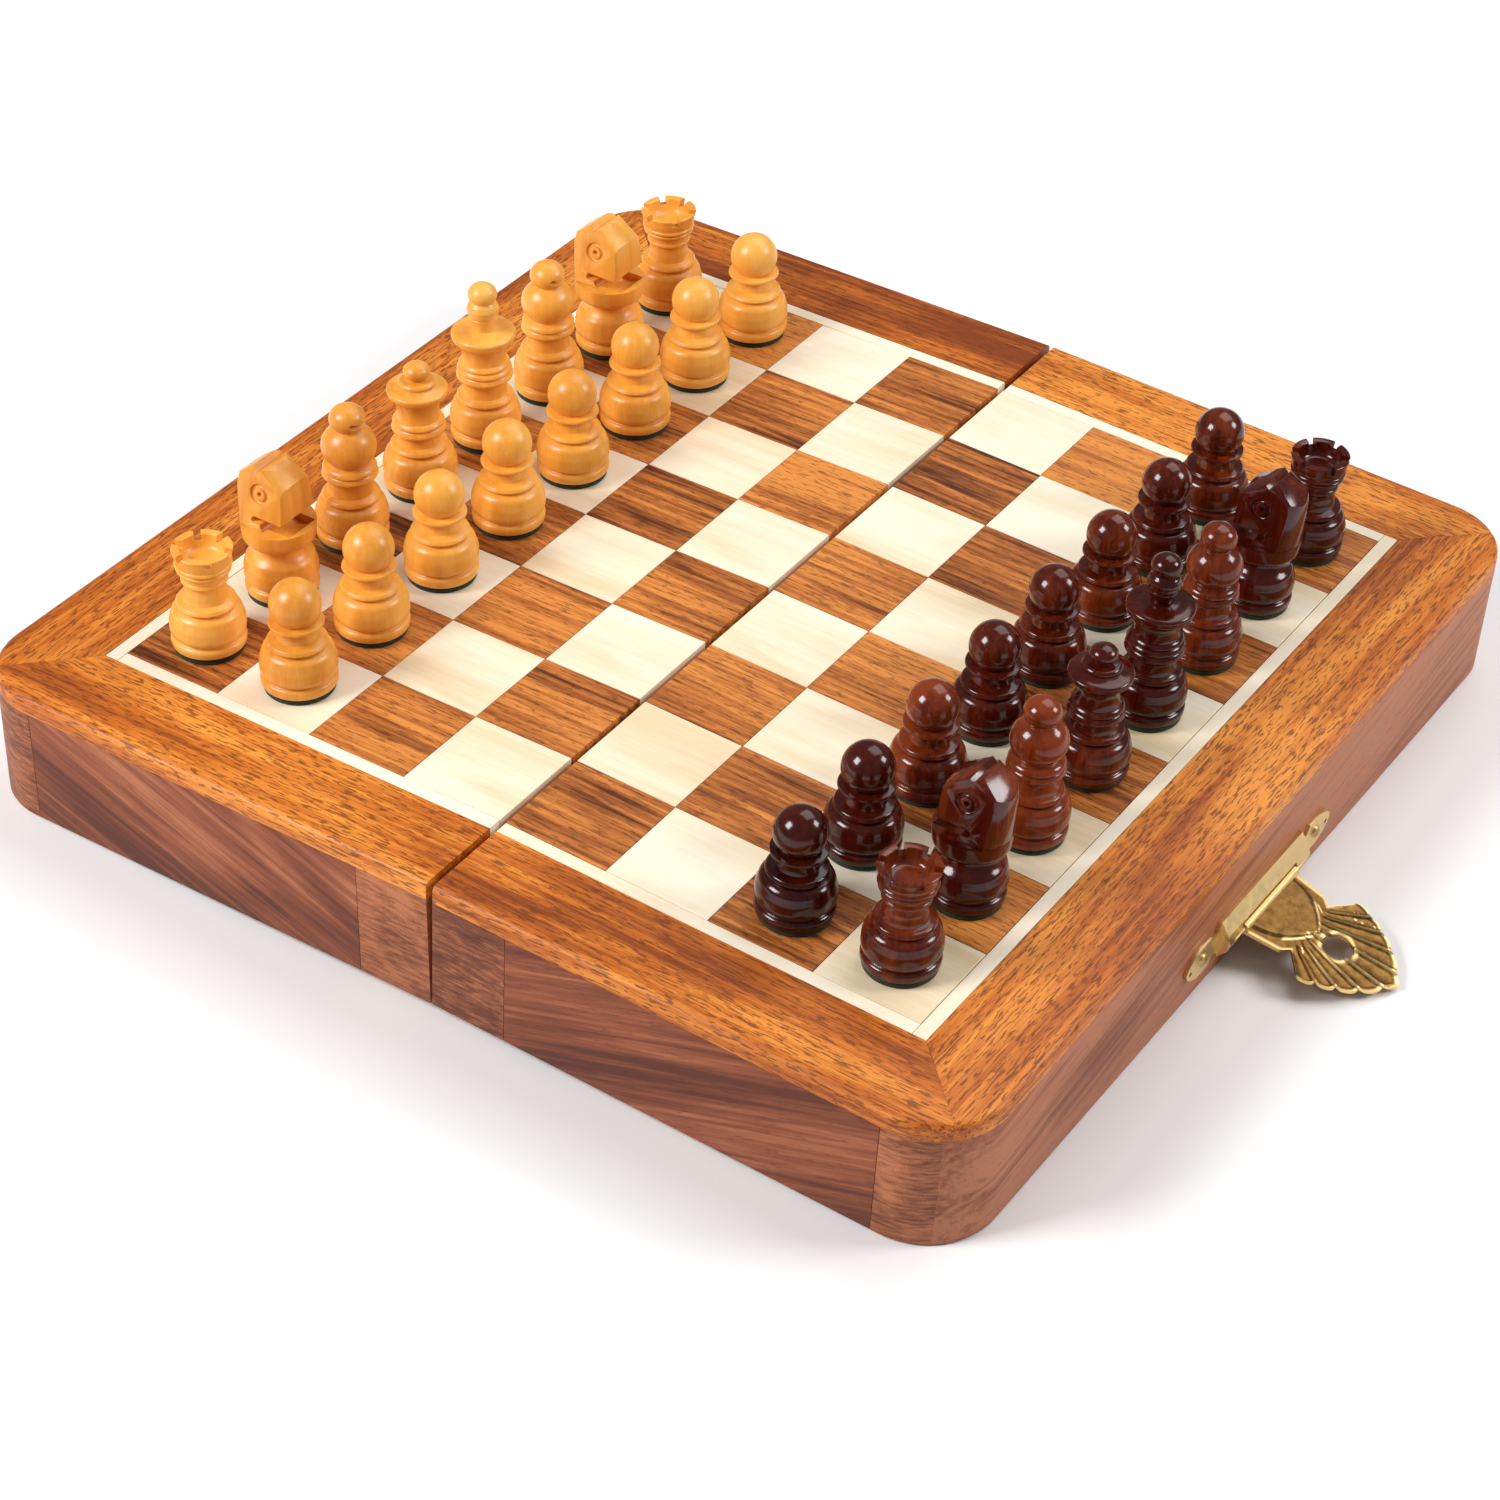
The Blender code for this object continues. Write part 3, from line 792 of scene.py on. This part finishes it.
# %% Clasp sizes
swing = joints["clasp_swing"]
DROOP = math.radians(90 - swing["range_deg"][1]) + TILT
HANG = Matrix.Translation(Vector(swing["pos_m"])) @ Matrix.Rotation(DROOP, 4, "Y")
PIN_HALF = 0.465 * SQUARE
CORNER = (0.345 * SQUARE, 0.42 * SQUARE)
WAIST = (0.42 * SQUARE, 0.34 * SQUARE)
FAN_X = 0.345 * SQUARE
FAN_TIP, FAN_SIDE = 0.96 * SQUARE, 0.65 * SQUARE
FAN_ANGLE = math.radians(66)
LOBES = 9
SCALLOP = 0.035 * SQUARE
HOLE_X = 0.705 * SQUARE
HOLE_R = 0.0025
BOSS_LEN, BOSS_HALF = 0.52 * SQUARE, 0.40 * SQUARE
SHEET_TOP = -0.0004
SHEET_T = 0.0006
CORNER_AT, WAIST_AT = 0.26, 0.33
print("the tongue hangs %.1f degrees below level" % math.degrees(DROOP))


# %% The die
def between(low, high, value):
    """0 below low, 1 above high, and a soft step between."""
    share = min(1.0, max(0.0, (value - low) / (high - low)))
    return share * share * (3 - 2 * share)


def press(s, t):
    """Place, height and wear of a blank point; s runs from pin to rim, t from side to side."""
    phase = (t + 1) * LOBES / 2
    to_ridge = abs(phase - round(phase))
    inner = 0.5 < phase < LOBES - 0.5
    reach = FAN_SIDE + (FAN_TIP - FAN_SIDE) * (1 - abs(t)) ** 1.6
    reach -= SCALLOP * (1 - abs(math.sin(math.pi * phase)) ** 0.6)
    rim = (FAN_X + reach * math.cos(t * FAN_ANGLE), reach * math.sin(t * FAN_ANGLE))
    stations = [(0, (0.0, PIN_HALF * t)), (CORNER_AT, (CORNER[0], CORNER[1] * t)),
                (WAIST_AT, (WAIST[0], WAIST[1] * t)), (1, rim)]
    for (s0, p0), (s1, p1) in zip(stations, stations[1:]):
        if s <= s1:
            share = (s - s0) / (s1 - s0)
            x, y = (a + (b - a) * share for a, b in zip(p0, p1))
            break
    arch = BOSS_HALF * max(0.0, 1 - (x / BOSS_LEN) ** 2.4)
    on_boss = between(0.0, 0.055 * SQUARE, arch - abs(y)) if x < BOSS_LEN else 0.0
    hole = math.hypot(x - HOLE_X, y) - HOLE_R
    ridge = (1 - between(0.0, 0.20, to_ridge)) * between(WAIST_AT, 0.42, s) * (1 - on_boss) * inner
    hollow = math.sin(math.pi * to_ridge) * between(WAIST_AT, 0.5, s) * (1 - between(0.93, 1.0, s))
    lip = between(0.945, 0.985, s)
    ring = 1 - between(0.0, 0.0006, abs(hole - 0.0004))
    height = 0.00042 * on_boss + 0.00030 * ridge - 0.00020 * hollow + 0.00012 * max(lip, ring)
    on_shoulder = 0.30 * SQUARE < x < 0.5 * SQUARE
    edge = (1 - between(0.0, 0.035 * SQUARE, abs(arch - abs(y)))) * on_shoulder
    side = between(0.90, 0.96, abs(t)) * (1 - between(WAIST_AT, 0.45, s))
    wear = max(between(0.55, 0.95, ridge), between(0.4, 0.9, lip), 0.8 * ring, 0.85 * edge, 0.7 * side)
    return (x, y, SHEET_TOP + height), wear


# %% Press, punch, thicken and roll
ROWS, COLUMNS = 90, 144
bpy.ops.object.select_all(action="DESELECT")
bpy.ops.mesh.primitive_grid_add(x_subdivisions=ROWS, y_subdivisions=COLUMNS, size=1)
tongue = just_added("clasp_shell")
shine = tongue.data.attributes.new("wear", "FLOAT", "POINT")
for k, spot in enumerate(tongue.data.vertices):
    place, wear = press(spot.co.x + 0.5, 2 * spot.co.y)
    spot.co = place
    shine.data[k].value = wear


def from_hole(point):
    return math.hypot(point.x - HOLE_X, point.y) - HOLE_R


start_editing(tongue, "FACE")
pick(tongue, lambda face: from_hole(face.center) < 0, "polygons")
bpy.ops.mesh.delete(type="FACE")
stop_editing()
uses = {}
for face in tongue.data.polygons:
    for key in face.edge_keys:
        uses[key] = uses.get(key, 0) + 1
for key, count in uses.items():
    for index in key:
        spot = tongue.data.vertices[index].co
        if count == 1 and abs(from_hole(spot)) < 0.0004:
            turn = math.atan2(spot.y, spot.x - HOLE_X)
            spot.x, spot.y = HOLE_X + HOLE_R * math.cos(turn), HOLE_R * math.sin(turn)
start_editing(tongue)
bpy.ops.mesh.select_all(action="SELECT")
bpy.ops.mesh.extrude_region_move(TRANSFORM_OT_translate={"value": (0, 0, -SHEET_T)})
face_outwards()
BARREL_R = 0.00085
barrel = rod("rolled_edge", BARREL_R, (0, -PIN_HALF, 0), (0, PIN_HALF, 0), 28)
select_only(tongue, barrel)
bpy.ops.object.join()
smooth(tongue, 50)
deliver(tongue, clasp_brass, "clasp", ["clasp_tongue"], HANG)
print("tongue of", len(tongue.data.polygons), "faces")

# %% [markdown]
# ## The clasp plate
#
# The plate is nailed to the outer wall. Its middle stands proud to hold the pin and is open for
# the tongue, and an ear with a nail sticks out on either side. A flat outline is cut from sheet,
# the proud band and its two cheeks are added, and all the edges are eased.

# %% Plate pieces
MM = 0.001
PLATE_Y = middle("clasp_plate").y
WINDOW = 0.49
EAR = [(0.74, 10.4), (0.76, 9.0), (0.84, 8.3), (0.90, 9.6), (1.08, 9.8), (1.21, 8.9), (1.28, 8.0),
       (1.31, 6.9), (1.28, 5.8), (1.21, 4.9), (1.08, 4.0), (0.90, 4.2), (0.84, 5.4), (0.76, 4.7),
       (0.74, 3.6), (WINDOW, 3.6), (WINDOW, 7.8)]
PLATE_T = 0.0006
NAIL_Y, NAIL_Z = 1.03, 6.9


def prism(name, outline, along):
    """Fill a closed outline and extrude it along a vector."""
    item = draw_line(name, outline)
    bpy.ops.mesh.select_all(action="SELECT")
    bpy.ops.mesh.edge_face_add()
    bpy.ops.mesh.extrude_region_move(TRANSFORM_OT_translate={"value": along})
    face_outwards()
    return item


def band(name, section, first, last):
    """A section in x and z, in millimetres from the wall, run from first to last along y."""
    outline = [(HALF + x * MM, PLATE_Y + first * SQUARE, z * MM) for x, z in section]
    return prism(name, outline, (0, (last - first) * SQUARE, 0))


def soften(item, width, angle=30, segments=2):
    apply_modifier(item, "BEVEL", width=width, segments=segments, limit_method="ANGLE",
                   angle_limit=math.radians(angle))
    smooth(item, 35)


ring = EAR + [(-y, z) for y, z in reversed(EAR)]
plate = prism("clasp_plate_brass", [(HALF, PLATE_Y + y * SQUARE, z * MM) for y, z in ring],
              (PLATE_T, 0, 0))
CHEEK = [(0.01, 9.6), (0.6, 10.2), (2.0, 8.35), (2.5, 6.9), (2.1, 5.4), (0.6, 3.7), (0.01, 3.7)]
BAND = [(0.01, 10.39), (0.6, 10.39), (2.1, 8.35), (2.1, 7.95), (1.6, 7.95), (0.5, 9.4), (0.01, 9.4)]
BAND_HALF = 0.735
CHEEK_END = 0.73
THROUGH = Vector((0.002, 0, 0))
cut(plate, band("band", BAND, -BAND_HALF, BAND_HALF), "UNION")
for sign in (-1, 1):
    first, last = sorted((sign * WINDOW, sign * CHEEK_END))
    cut(plate, band("cheek", CHEEK, first, last), "UNION")
    for y, z, radius in ((NAIL_Y, NAIL_Z, 0.0006), (1.235, 6.6, 0.0004)):
        spot = Vector((HALF, PLATE_Y + sign * y * SQUARE, z * MM))
        cut(plate, rod("nail_hole", radius, spot - THROUGH, spot + THROUGH, 20))
soften(plate, 0.00014)
deliver(plate, plate_brass, "right_half", ["clasp_plate"], PLACE["right"])
finish_packed("clasp_pin", plate_brass)
print("plate of", len(plate.data.polygons), "faces")

# %% [markdown]
# The nails and the catch knob are turned, so they are half outlines spun round an axis that
# points out of the wall. On the left wall a small square plate carries the knob that the hole in
# the shell drops over when the box is shut.

# %% Nails, catch plate and knob
NAIL = [(0, 0.0), (0.0011, 0.0), (0.0011, 0.00010), (0.0009, 0.00034), (0.0005, 0.0005), (0, 0.00055)]


def spin_round(item, axis, steps):
    """Spin the line being edited once round an axis and close the seam and the poles."""
    bpy.ops.mesh.select_all(action="SELECT")
    bpy.ops.mesh.spin(steps=steps, angle=2 * math.pi, center=(0, 0, 0), axis=axis)
    bpy.ops.mesh.select_all(action="SELECT")
    bpy.ops.mesh.remove_doubles(threshold=0.000002)
    face_outwards()
    smooth(item, 40)
    return item


def turned_out(name, profile):
    """Spin an outline of (radius, height) in metres round x."""
    item = draw_line(name, [(height, radius, 0) for radius, height in profile])
    return spin_round(item, (1, 0, 0), 32)


nail = turned_out("nail", NAIL)
for end, sign in ENDS.items():
    twin = copy_of(nail, "clasp_nail_" + end)
    spot = Matrix.Translation((HALF + PLATE_T, PLATE_Y + sign * NAIL_Y * SQUARE, NAIL_Z * MM))
    deliver(twin, plate_brass, "right_half", (), PLACE["right"] @ spot)

catch_low, catch_high = in_half("catch_plate", "left")
CATCH_Z = (catch_low.z + catch_high.z) / 2
CATCH_SIDE = (catch_high.z - catch_low.z) / 2
KNOB_OUT = -catch_low.x
catch = block("catch_plate_brass", (-HALF - PLATE_T, PLATE_Y - CATCH_SIDE, CATCH_Z - CATCH_SIDE),
              (-HALF, PLATE_Y + CATCH_SIDE, CATCH_Z + CATCH_SIDE))
ease_edges(catch, 0.0016, lambda a, b: abs(a.x - b.x) > 0.0003, segments=6)
ease_edges(catch, 0.00018, lambda a, b: max(a.x, b.x) < -HALF - 0.0005, segments=2)
KNOB = [(0, 0), (0.0010, 0), (0.0009, 0.0009), (0.0009, 0.0018), (0.0014, 0.0021), (0.0015, 0.0024),
        (0.0012, 0.0027), (0, KNOB_OUT - HALF - PLATE_T)]
knob = turned_out("catch_knob", KNOB)
AWAY = Matrix.Translation((-HALF - PLATE_T, PLATE_Y, CATCH_Z)) @ Matrix.Rotation(math.pi, 4, "Z")
smooth(catch, 35)
deliver(catch, plate_brass, "left_half", ["catch_plate"], PLACE["left"])
deliver(knob, plate_brass, "left_half", (), PLACE["left"] @ AWAY)
for end, sign in ENDS.items():
    twin = copy_of(nail, "catch_nail_" + end)
    shift = Matrix.Translation((0, sign * 0.66 * CATCH_SIDE, 0)) @ Matrix.Scale(0.25, 4, (1, 0, 0))
    deliver(twin, plate_brass, "left_half", (), PLACE["left"] @ AWAY @ shift)
discard(nail)
print("clasp and catch nailed on")

# %% [markdown]
# ## The men
#
# Every man is turned on a lathe, so it is drawn as half an outline and spun round. The outline is
# given in squares, as (radius, height), from the foot up. A third number makes the stretch that
# leads to the point a curve, pushed outwards by that much in its middle.

# %% Outline and lathe
TURN_STEPS = 56


def ball(radius, height, centre, start, end, steps=9):
    """Points on an oval, from start to end degrees measured from straight down."""
    points = []
    for k in range(steps + 1):
        angle = math.radians(start + (end - start) * k / steps)
        points.append((radius * math.sin(angle), centre - height * math.cos(angle)))
    return points


def outline(points, steps=4):
    """Fill in the curved stretches."""
    here = points[0][:2]
    drawn = [here]
    for point in points[1:]:
        there = point[:2]
        push = point[2] if len(point) > 2 else 0
        if push:
            dr, dz = there[0] - here[0], there[1] - here[1]
            length = math.hypot(dr, dz)
            control = ((here[0] + there[0]) / 2 + 2 * push * dz / length,
                       (here[1] + there[1]) / 2 - 2 * push * dr / length)
            for k in range(1, steps):
                t = k / steps
                drawn.append(tuple((1 - t) ** 2 * a + 2 * t * (1 - t) * c + t * t * b
                                   for a, c, b in zip(here, control, there)))
        drawn.append(there)
        here = there
    return drawn


def turned(name, points, steps=TURN_STEPS):
    """Draw the outline and spin it round z."""
    item = draw_line(name, [(r * SQUARE, 0, z * SQUARE) for r, z in outline(points)])
    return spin_round(item, (0, 0, 1), steps)


# %% [markdown]
# All the men stand on the same sort of foot: a base band with a groove over it, a bell, and a
# bead where the bell meets the stem.

# %% The common foot
def foot(bell=0.330, waist=0.200):
    return [(0, 0.058), (bell - 0.020, 0.058), (bell, 0.088, 0.008), (bell - 0.002, 0.138, 0.004),
            (bell - 0.030, 0.158, 0.002), (bell - 0.030, 0.174, -0.004), (bell + 0.002, 0.208, 0.006),
            (bell + 0.004, 0.270, 0.003), (bell - 0.014, 0.360, 0.006), (0.270, 0.434, 0.012),
            (0.234, 0.450), (0.236, 0.456), (0.262, 0.470, 0.005), (0.260, 0.492, 0.006),
            (0.238, 0.512, 0.005), (waist + 0.010, 0.530, 0.001), (waist, 0.600, -0.003)]


pawn = foot(0.332, 0.172) + [(0.172, 0.634), (0.228, 0.654, -0.004), (0.236, 0.690, 0.010),
                             (0.165, 0.706, 0.002)]
pawn += ball(0.226, 0.226, 0.852, 48, 180, 14)

rook = foot(0.328, 0.190) + [(0.183, 0.690, -0.006), (0.200, 0.705, 0.004), (0.203, 0.725, 0.004),
                             (0.190, 0.742, 0.003), (0.196, 0.790, -0.003), (0.226, 0.815, -0.003),
                             (0.240, 0.836, 0.006), (0.224, 0.852, 0.002), (0.250, 0.872, 0.006),
                             (0.240, 0.896, 0.004), (0.250, 0.935, -0.002), (0.266, 1.020, -0.003),
                             (0.260, 1.034, 0.003), (0.204, 1.034), (0.194, 1.022, 0.003),
                             (0.168, 0.925, -0.004), (0.110, 0.900, -0.008), (0, 0.896)]

bishop = foot(0.328, 0.198) + [(0.202, 0.660, -0.003), (0.238, 0.690, -0.002), (0.246, 0.730, 0.012),
                               (0.226, 0.757, 0.003), (0.240, 0.790, 0.012), (0.214, 0.818, 0.003),
                               (0.190, 0.832)]
bishop += ball(0.250, 0.222, 0.990, 48, 148, 12) + ball(0.166, 0.135, 1.270, 52, 180, 11)

queen = foot(0.338, 0.195) + [(0.200, 0.610, -0.003), (0.236, 0.640, -0.002), (0.240, 0.690, 0.012),
                              (0.222, 0.715, 0.003), (0.230, 0.752, 0.012), (0.202, 0.778, 0.003),
                              (0.192, 0.860, -0.004), (0.208, 0.935, -0.004), (0.262, 1.012, -0.010),
                              (0.280, 1.046, 0.006), (0.266, 1.082, 0.008), (0.172, 1.118, -0.006),
                              (0.168, 1.152, 0.006), (0.140, 1.166, 0.004), (0.085, 1.176, -0.003)]
queen += ball(0.124, 0.085, 1.245, 42, 180, 10)

king = foot(0.328, 0.203) + [(0.208, 0.655, -0.003), (0.250, 0.690, -0.002), (0.256, 0.735, 0.012),
                             (0.238, 0.760, 0.003), (0.250, 0.795, 0.012), (0.224, 0.822, 0.003),
                             (0.232, 0.850, 0.010), (0.205, 0.876, 0.003), (0.206, 0.940, -0.003),
                             (0.226, 1.010, -0.005), (0.280, 1.085, -0.012), (0.296, 1.128, 0.006),
                             (0.284, 1.172, 0.010), (0.190, 1.182, 0.004), (0.098, 1.190, -0.004),
                             (0.104, 1.240, -0.004), (0.128, 1.310, -0.004), (0.124, 1.330, 0.003),
                             (0.142, 1.385, 0.010), (0.136, 1.440, 0.010), (0.118, 1.468, 0.004)]
king += ball(0.136, 0.110, 1.555, 52, 180, 11)
outlines = {"pawn": pawn, "rook": rook, "bishop": bishop, "queen": queen, "king": king}

# %% Turn one of each
patterns = {kind: turned("pattern_" + kind, points) for kind, points in outlines.items()}
print({kind: len(item.data.polygons) for kind, item in patterns.items()})

# %% [markdown]
# The rook's crown is sawn after turning. Three cuts through the middle leave six merlons. The
# bishop's mitre gets one slanted saw cut.

# %% Saw the crown and the mitre
def sloped_block(name, size, centre, angle, axis):
    item = block(name, -Vector(size) / 2, Vector(size) / 2)
    item.matrix_world = Matrix.Translation(Vector(centre)) @ Matrix.Rotation(math.radians(angle), 4, axis)
    settle(item)
    return item


MERLON_CUTS = 3
for k in range(MERLON_CUTS):
    tool = sloped_block("crown_saw", (0.8 * SQUARE, 0.070 * SQUARE, 0.2 * SQUARE),
                        (0, 0, 1.068 * SQUARE), 20 + 180 * k / MERLON_CUTS, "Z")
    cut(patterns["rook"], tool)
mitre_saw = sloped_block("mitre_saw", (0.4 * SQUARE, 0.6 * SQUARE, 0.045 * SQUARE),
                         (0.27 * SQUARE, 0, 1.15 * SQUARE), 40, "Y")
cut(patterns["bishop"], mitre_saw)
for kind in ("rook", "bishop"):
    smooth(patterns[kind], 35)

# %% [markdown]
# The knight starts as a turned blank as well. The carver then saws flats on it: two sides that
# lean in, the front of the muzzle, the forehead, the top and the back of the head. The mouth is a
# saw cut that ends in a drilled hole, with the lower jaw scooped out under it. The eye is a ring
# cut with a hollow drill, and the mane is gouged in three slanted strokes on each side.

# %% Knight
knight_base = foot(0.328, 0.21)[:10]
knight_base += [(0.215, 0.545, -0.012), (0.290, 0.578, -0.006), (0.328, 0.640, 0.010), (0.334, 0.720),
                (0.334, 1.080), (0.315, 1.220, 0.006), (0.230, 1.370, 0.014), (0, 1.420, 0.01)]
knight = turned("pattern_knight", knight_base)
JAW = 0.762
SIDE_LEAN = 0.12
head = copy_of(knight, "knight_head")
saw(head, (0, 0, JAW * SQUARE), (0, 0, -1))
saw(knight, (0, 0, (JAW - 0.004) * SQUARE), (0, 0, 1))
flats = [((0, -0.245, JAW), (0, -1, SIDE_LEAN)), ((0, 0.245, JAW), (0, 1, SIDE_LEAN)),
         ((0.222, 0, 0.86), (1, 0, 0.04)), ((0.205, 0, 1.205), (0.62, 0, 0.78)),
         ((0.03, 0, 1.345), (0.12, 0, 1)), ((-0.325, 0, 1.190), (-0.62, 0, 0.78)),
         ((0.17, -0.2, 1.20), (0.55, -0.40, 0.72)), ((0.17, 0.2, 1.20), (0.55, 0.40, 0.72)),
         ((-0.2, -0.19, 1.26), (-0.45, -0.55, 0.75)), ((-0.2, 0.19, 1.26), (-0.45, 0.55, 0.75))]
for point, away in flats:
    saw(head, Vector(point) * SQUARE, Vector(away).normalized())
print("head has", len(head.data.polygons), "faces after", len(flats), "cuts")

# %% Mouth and crest
MOUTH = Vector((-0.07, 0, 0.850)) * SQUARE
MOUTH_HALF = 0.034 * SQUARE
ACROSS = Vector((0, 0.4 * SQUARE, 0))
cut(head, rod("mouth_drill", MOUTH_HALF, MOUTH - ACROSS, MOUTH + ACROSS))
cut(head, block("mouth_saw", MOUTH - ACROSS - Vector((0, 0, MOUTH_HALF)),
                MOUTH + ACROSS + Vector((0.6 * SQUARE, 0, MOUTH_HALF))))
for item, x, radius, width in ((head, 0.150, 0.172, 1.0), (knight, 0.120, 0.185, 0.45)):
    scoop_at = Vector((x, 0, 0.868)) * SQUARE
    scoop = rod("jaw_scoop", radius * SQUARE, scoop_at - ACROSS * width, scoop_at + ACROSS * width, 48)
    saw(scoop, MOUTH, (0, 0, 1))
    cut(item, scoop)
cut(head, sloped_block("crest_nick", (0.09 * SQUARE, 0.8 * SQUARE, 0.09 * SQUARE),
                       (-0.045 * SQUARE, 0, 1.385 * SQUARE), 45, "Y"))

# %% Eyes and mane
for side in (-1, 1):
    lean = math.degrees(math.atan(SIDE_LEAN)) * side
    centre = Vector((-0.02, side * 0.203, 1.115)) * SQUARE
    bpy.ops.object.select_all(action="DESELECT")
    bpy.ops.mesh.primitive_torus_add(major_radius=0.080 * SQUARE, minor_radius=0.021 * SQUARE,
                                     major_segments=36, minor_segments=12)
    ring = just_added("eye_cutter")
    ring.matrix_world = Matrix.Translation(centre) @ Matrix.Rotation(math.radians(90 + lean), 4, "X")
    settle(ring)
    cut(head, ring)
    cut(head, rod("pupil_drill", 0.024 * SQUARE, centre - Vector((0, 0.035 * SQUARE, 0)),
                  centre + Vector((0, 0.035 * SQUARE, 0)), 20))
    for k in range(3):
        spot = Vector((-0.215 - 0.012 * k, side * 0.262, 0.93 + 0.085 * k)) * SQUARE
        cut(head, rod("mane_gouge", 0.035 * SQUARE, spot - Vector((0.13, 0, -0.07)) * SQUARE,
                      spot + Vector((0.10, 0, -0.05)) * SQUARE, 24))
apply_modifier(head, "BEVEL", width=0.006 * SQUARE, segments=2, limit_method="ANGLE",
               angle_limit=math.radians(32))
select_only(knight, head)
bpy.ops.object.join()
start_editing(knight)
bpy.ops.mesh.select_all(action="SELECT")
bpy.ops.mesh.fill_holes(sides=8)
stop_editing()
smooth(knight, 32)
patterns["knight"] = knight
print("knight of", len(knight.data.polygons), "faces")

# %% [markdown]
# ## Set up both sides
#
# The light men stand on the left half and look right, the dark men the other way round. Each man
# gets a disc of green felt under its foot, a little smaller than the foot, which shows as a dark
# line above the board. That line is partly the felt and partly painted shade: the felt's colour is
# darkened to the contact shadow under the foot. Some dark men come from redder stock, so their tone
# is raised.

# %% Felt disc
felt_disc = turned("felt", [(0, 0.003), (0.306, 0.003), (0.312, 0.030, 0.004), (0.308, 0.0575, 0.003),
                            (0, 0.0575)], 40)

# %% Place the men
BACK_ROW = ("rook_near", "knight_near", "bishop_near", "queen", "king",
            "bishop_far", "knight_far", "rook_far")
ARMIES = (("light", "left", boxwood, "boxwood"), ("dark", "right", dark_rosewood, "dark_rosewood"))
REDDER = {"dark_rook_near": 0.15, "dark_bishop_near": 0.15, "dark_pawn_3": 0.13, "dark_bishop_far": 0.11,
          "dark_knight_near": 0.04}


def stand(name, kind, side_name, x, y, timber, tone):
    """Copy a pattern, face it across the board and put it on its square."""
    side = SIDES[side_name]
    turn = Matrix.Rotation(0 if side < 0 else math.pi, 4, "Z")
    spot = PLACE[side_name] @ Matrix.Translation((x, y, TOP)) @ turn
    man = copy_of(patterns[kind], name + "_wood")
    deliver(man, timber, name, [name], spot)
    give_grain(man, along=(0, 0, 1), up=(1, 0, 0), tone=tone)
    disc = copy_of(felt_disc, name + "_felt")
    deliver(disc, green_felt, name, (), spot)


for colour, side_name, timber, slot in ARMIES:
    side = SIDES[side_name]
    for k, man in enumerate(BACK_ROW):
        y = (k - MIDDLE) * SQUARE
        for row, kind, label in ((MIDDLE, man.split("_")[0], man),
                                 (MIDDLE - 1, "pawn", "pawn_" + str(k + 1))):
            name = colour + "_" + label
            tone = dice.uniform(0.42, 0.58) + REDDER.get(name, 0)
            stand(name, kind, side_name, side * row * SQUARE, y, timber, tone)
discard(felt_disc, *patterns.values())
print("thirty-two men stand on their felts")

# %% [markdown]
# ## Studio
#
# The floor is white paper. The key is a soft square window at the near left, a smaller one behind
# on the right draws a second highlight on every ball, and a large skylight from behind fills in.
# The surround is dim, so that dark lacquer stays dark. The camera has a long lens.

# %% Floor
bpy.ops.object.select_all(action="DESELECT")
bpy.ops.mesh.primitive_plane_add(size=6, location=(0, 0, -0.0002))
floor = just_added("floor")
paper = Recipe("white_paper")
floor.data.materials.append(paper.finish((0.93, 0.93, 0.935), 0.85))

# %% Lights
world = bpy.data.worlds.new("studio")
world.use_nodes = True
world.node_tree.nodes["Background"].inputs["Color"].default_value = (1, 1, 1, 1)
world.node_tree.nodes["Background"].inputs["Strength"].default_value = 0.20
bpy.context.scene.world = world
CENTRE = Vector((FOLD.x, 0, TOP))


def direction(azimuth, elevation):
    """Away from the board; azimuth is measured from the near side to the right."""
    turn, rise = math.radians(azimuth), math.radians(elevation)
    return Vector((math.sin(turn) * math.cos(rise), -math.cos(turn) * math.cos(rise), math.sin(rise)))


def soft_light(name, azimuth, elevation, distance, size, power):
    """A square light that looks at the board."""
    away = direction(azimuth, elevation)
    lamp = bpy.data.lights.new(name, "AREA")
    lamp.size = size
    lamp.energy = power
    item = bpy.data.objects.new(name, lamp)
    bpy.context.scene.collection.objects.link(item)
    look = away.to_track_quat("Z", "Y").to_matrix().to_4x4()
    item.matrix_world = Matrix.Translation(CENTRE + away * distance) @ look


soft_light("window_left", -36, 38, 0.9, 0.34, 7.2)
soft_light("window_back", 121, 33, 0.9, 0.28, 3.6)
soft_light("skylight", 168, 60, 1.0, 0.7, 4.0)

# %% Camera
VIEW_AZIMUTH, VIEW_ELEVATION, VIEW_ROLL = 31.98, 38.58, 2.60
VIEW_DISTANCE = 32.03 * SQUARE
VIEW_TARGET = Vector((FOLD.x + 1.12 * SQUARE, -2.03 * SQUARE, FOLD.z + TOP))
LENS = 91.4
back = direction(VIEW_AZIMUTH, VIEW_ELEVATION)
right = direction(VIEW_AZIMUTH + 90, 0)
look = Matrix((right, back.cross(right), back)).transposed().to_4x4()
lens = bpy.data.cameras.new("camera")
lens.lens = LENS
lens.sensor_width = 36
lens.clip_start = 0.01
camera = bpy.data.objects.new("camera", lens)
bpy.context.scene.collection.objects.link(camera)
roll = Matrix.Rotation(math.radians(VIEW_ROLL), 4, "Z")
camera.matrix_world = Matrix.Translation(VIEW_TARGET + back * VIEW_DISTANCE) @ look @ roll
bpy.context.scene.camera = camera
bpy.context.scene.view_settings.view_transform = "Standard"
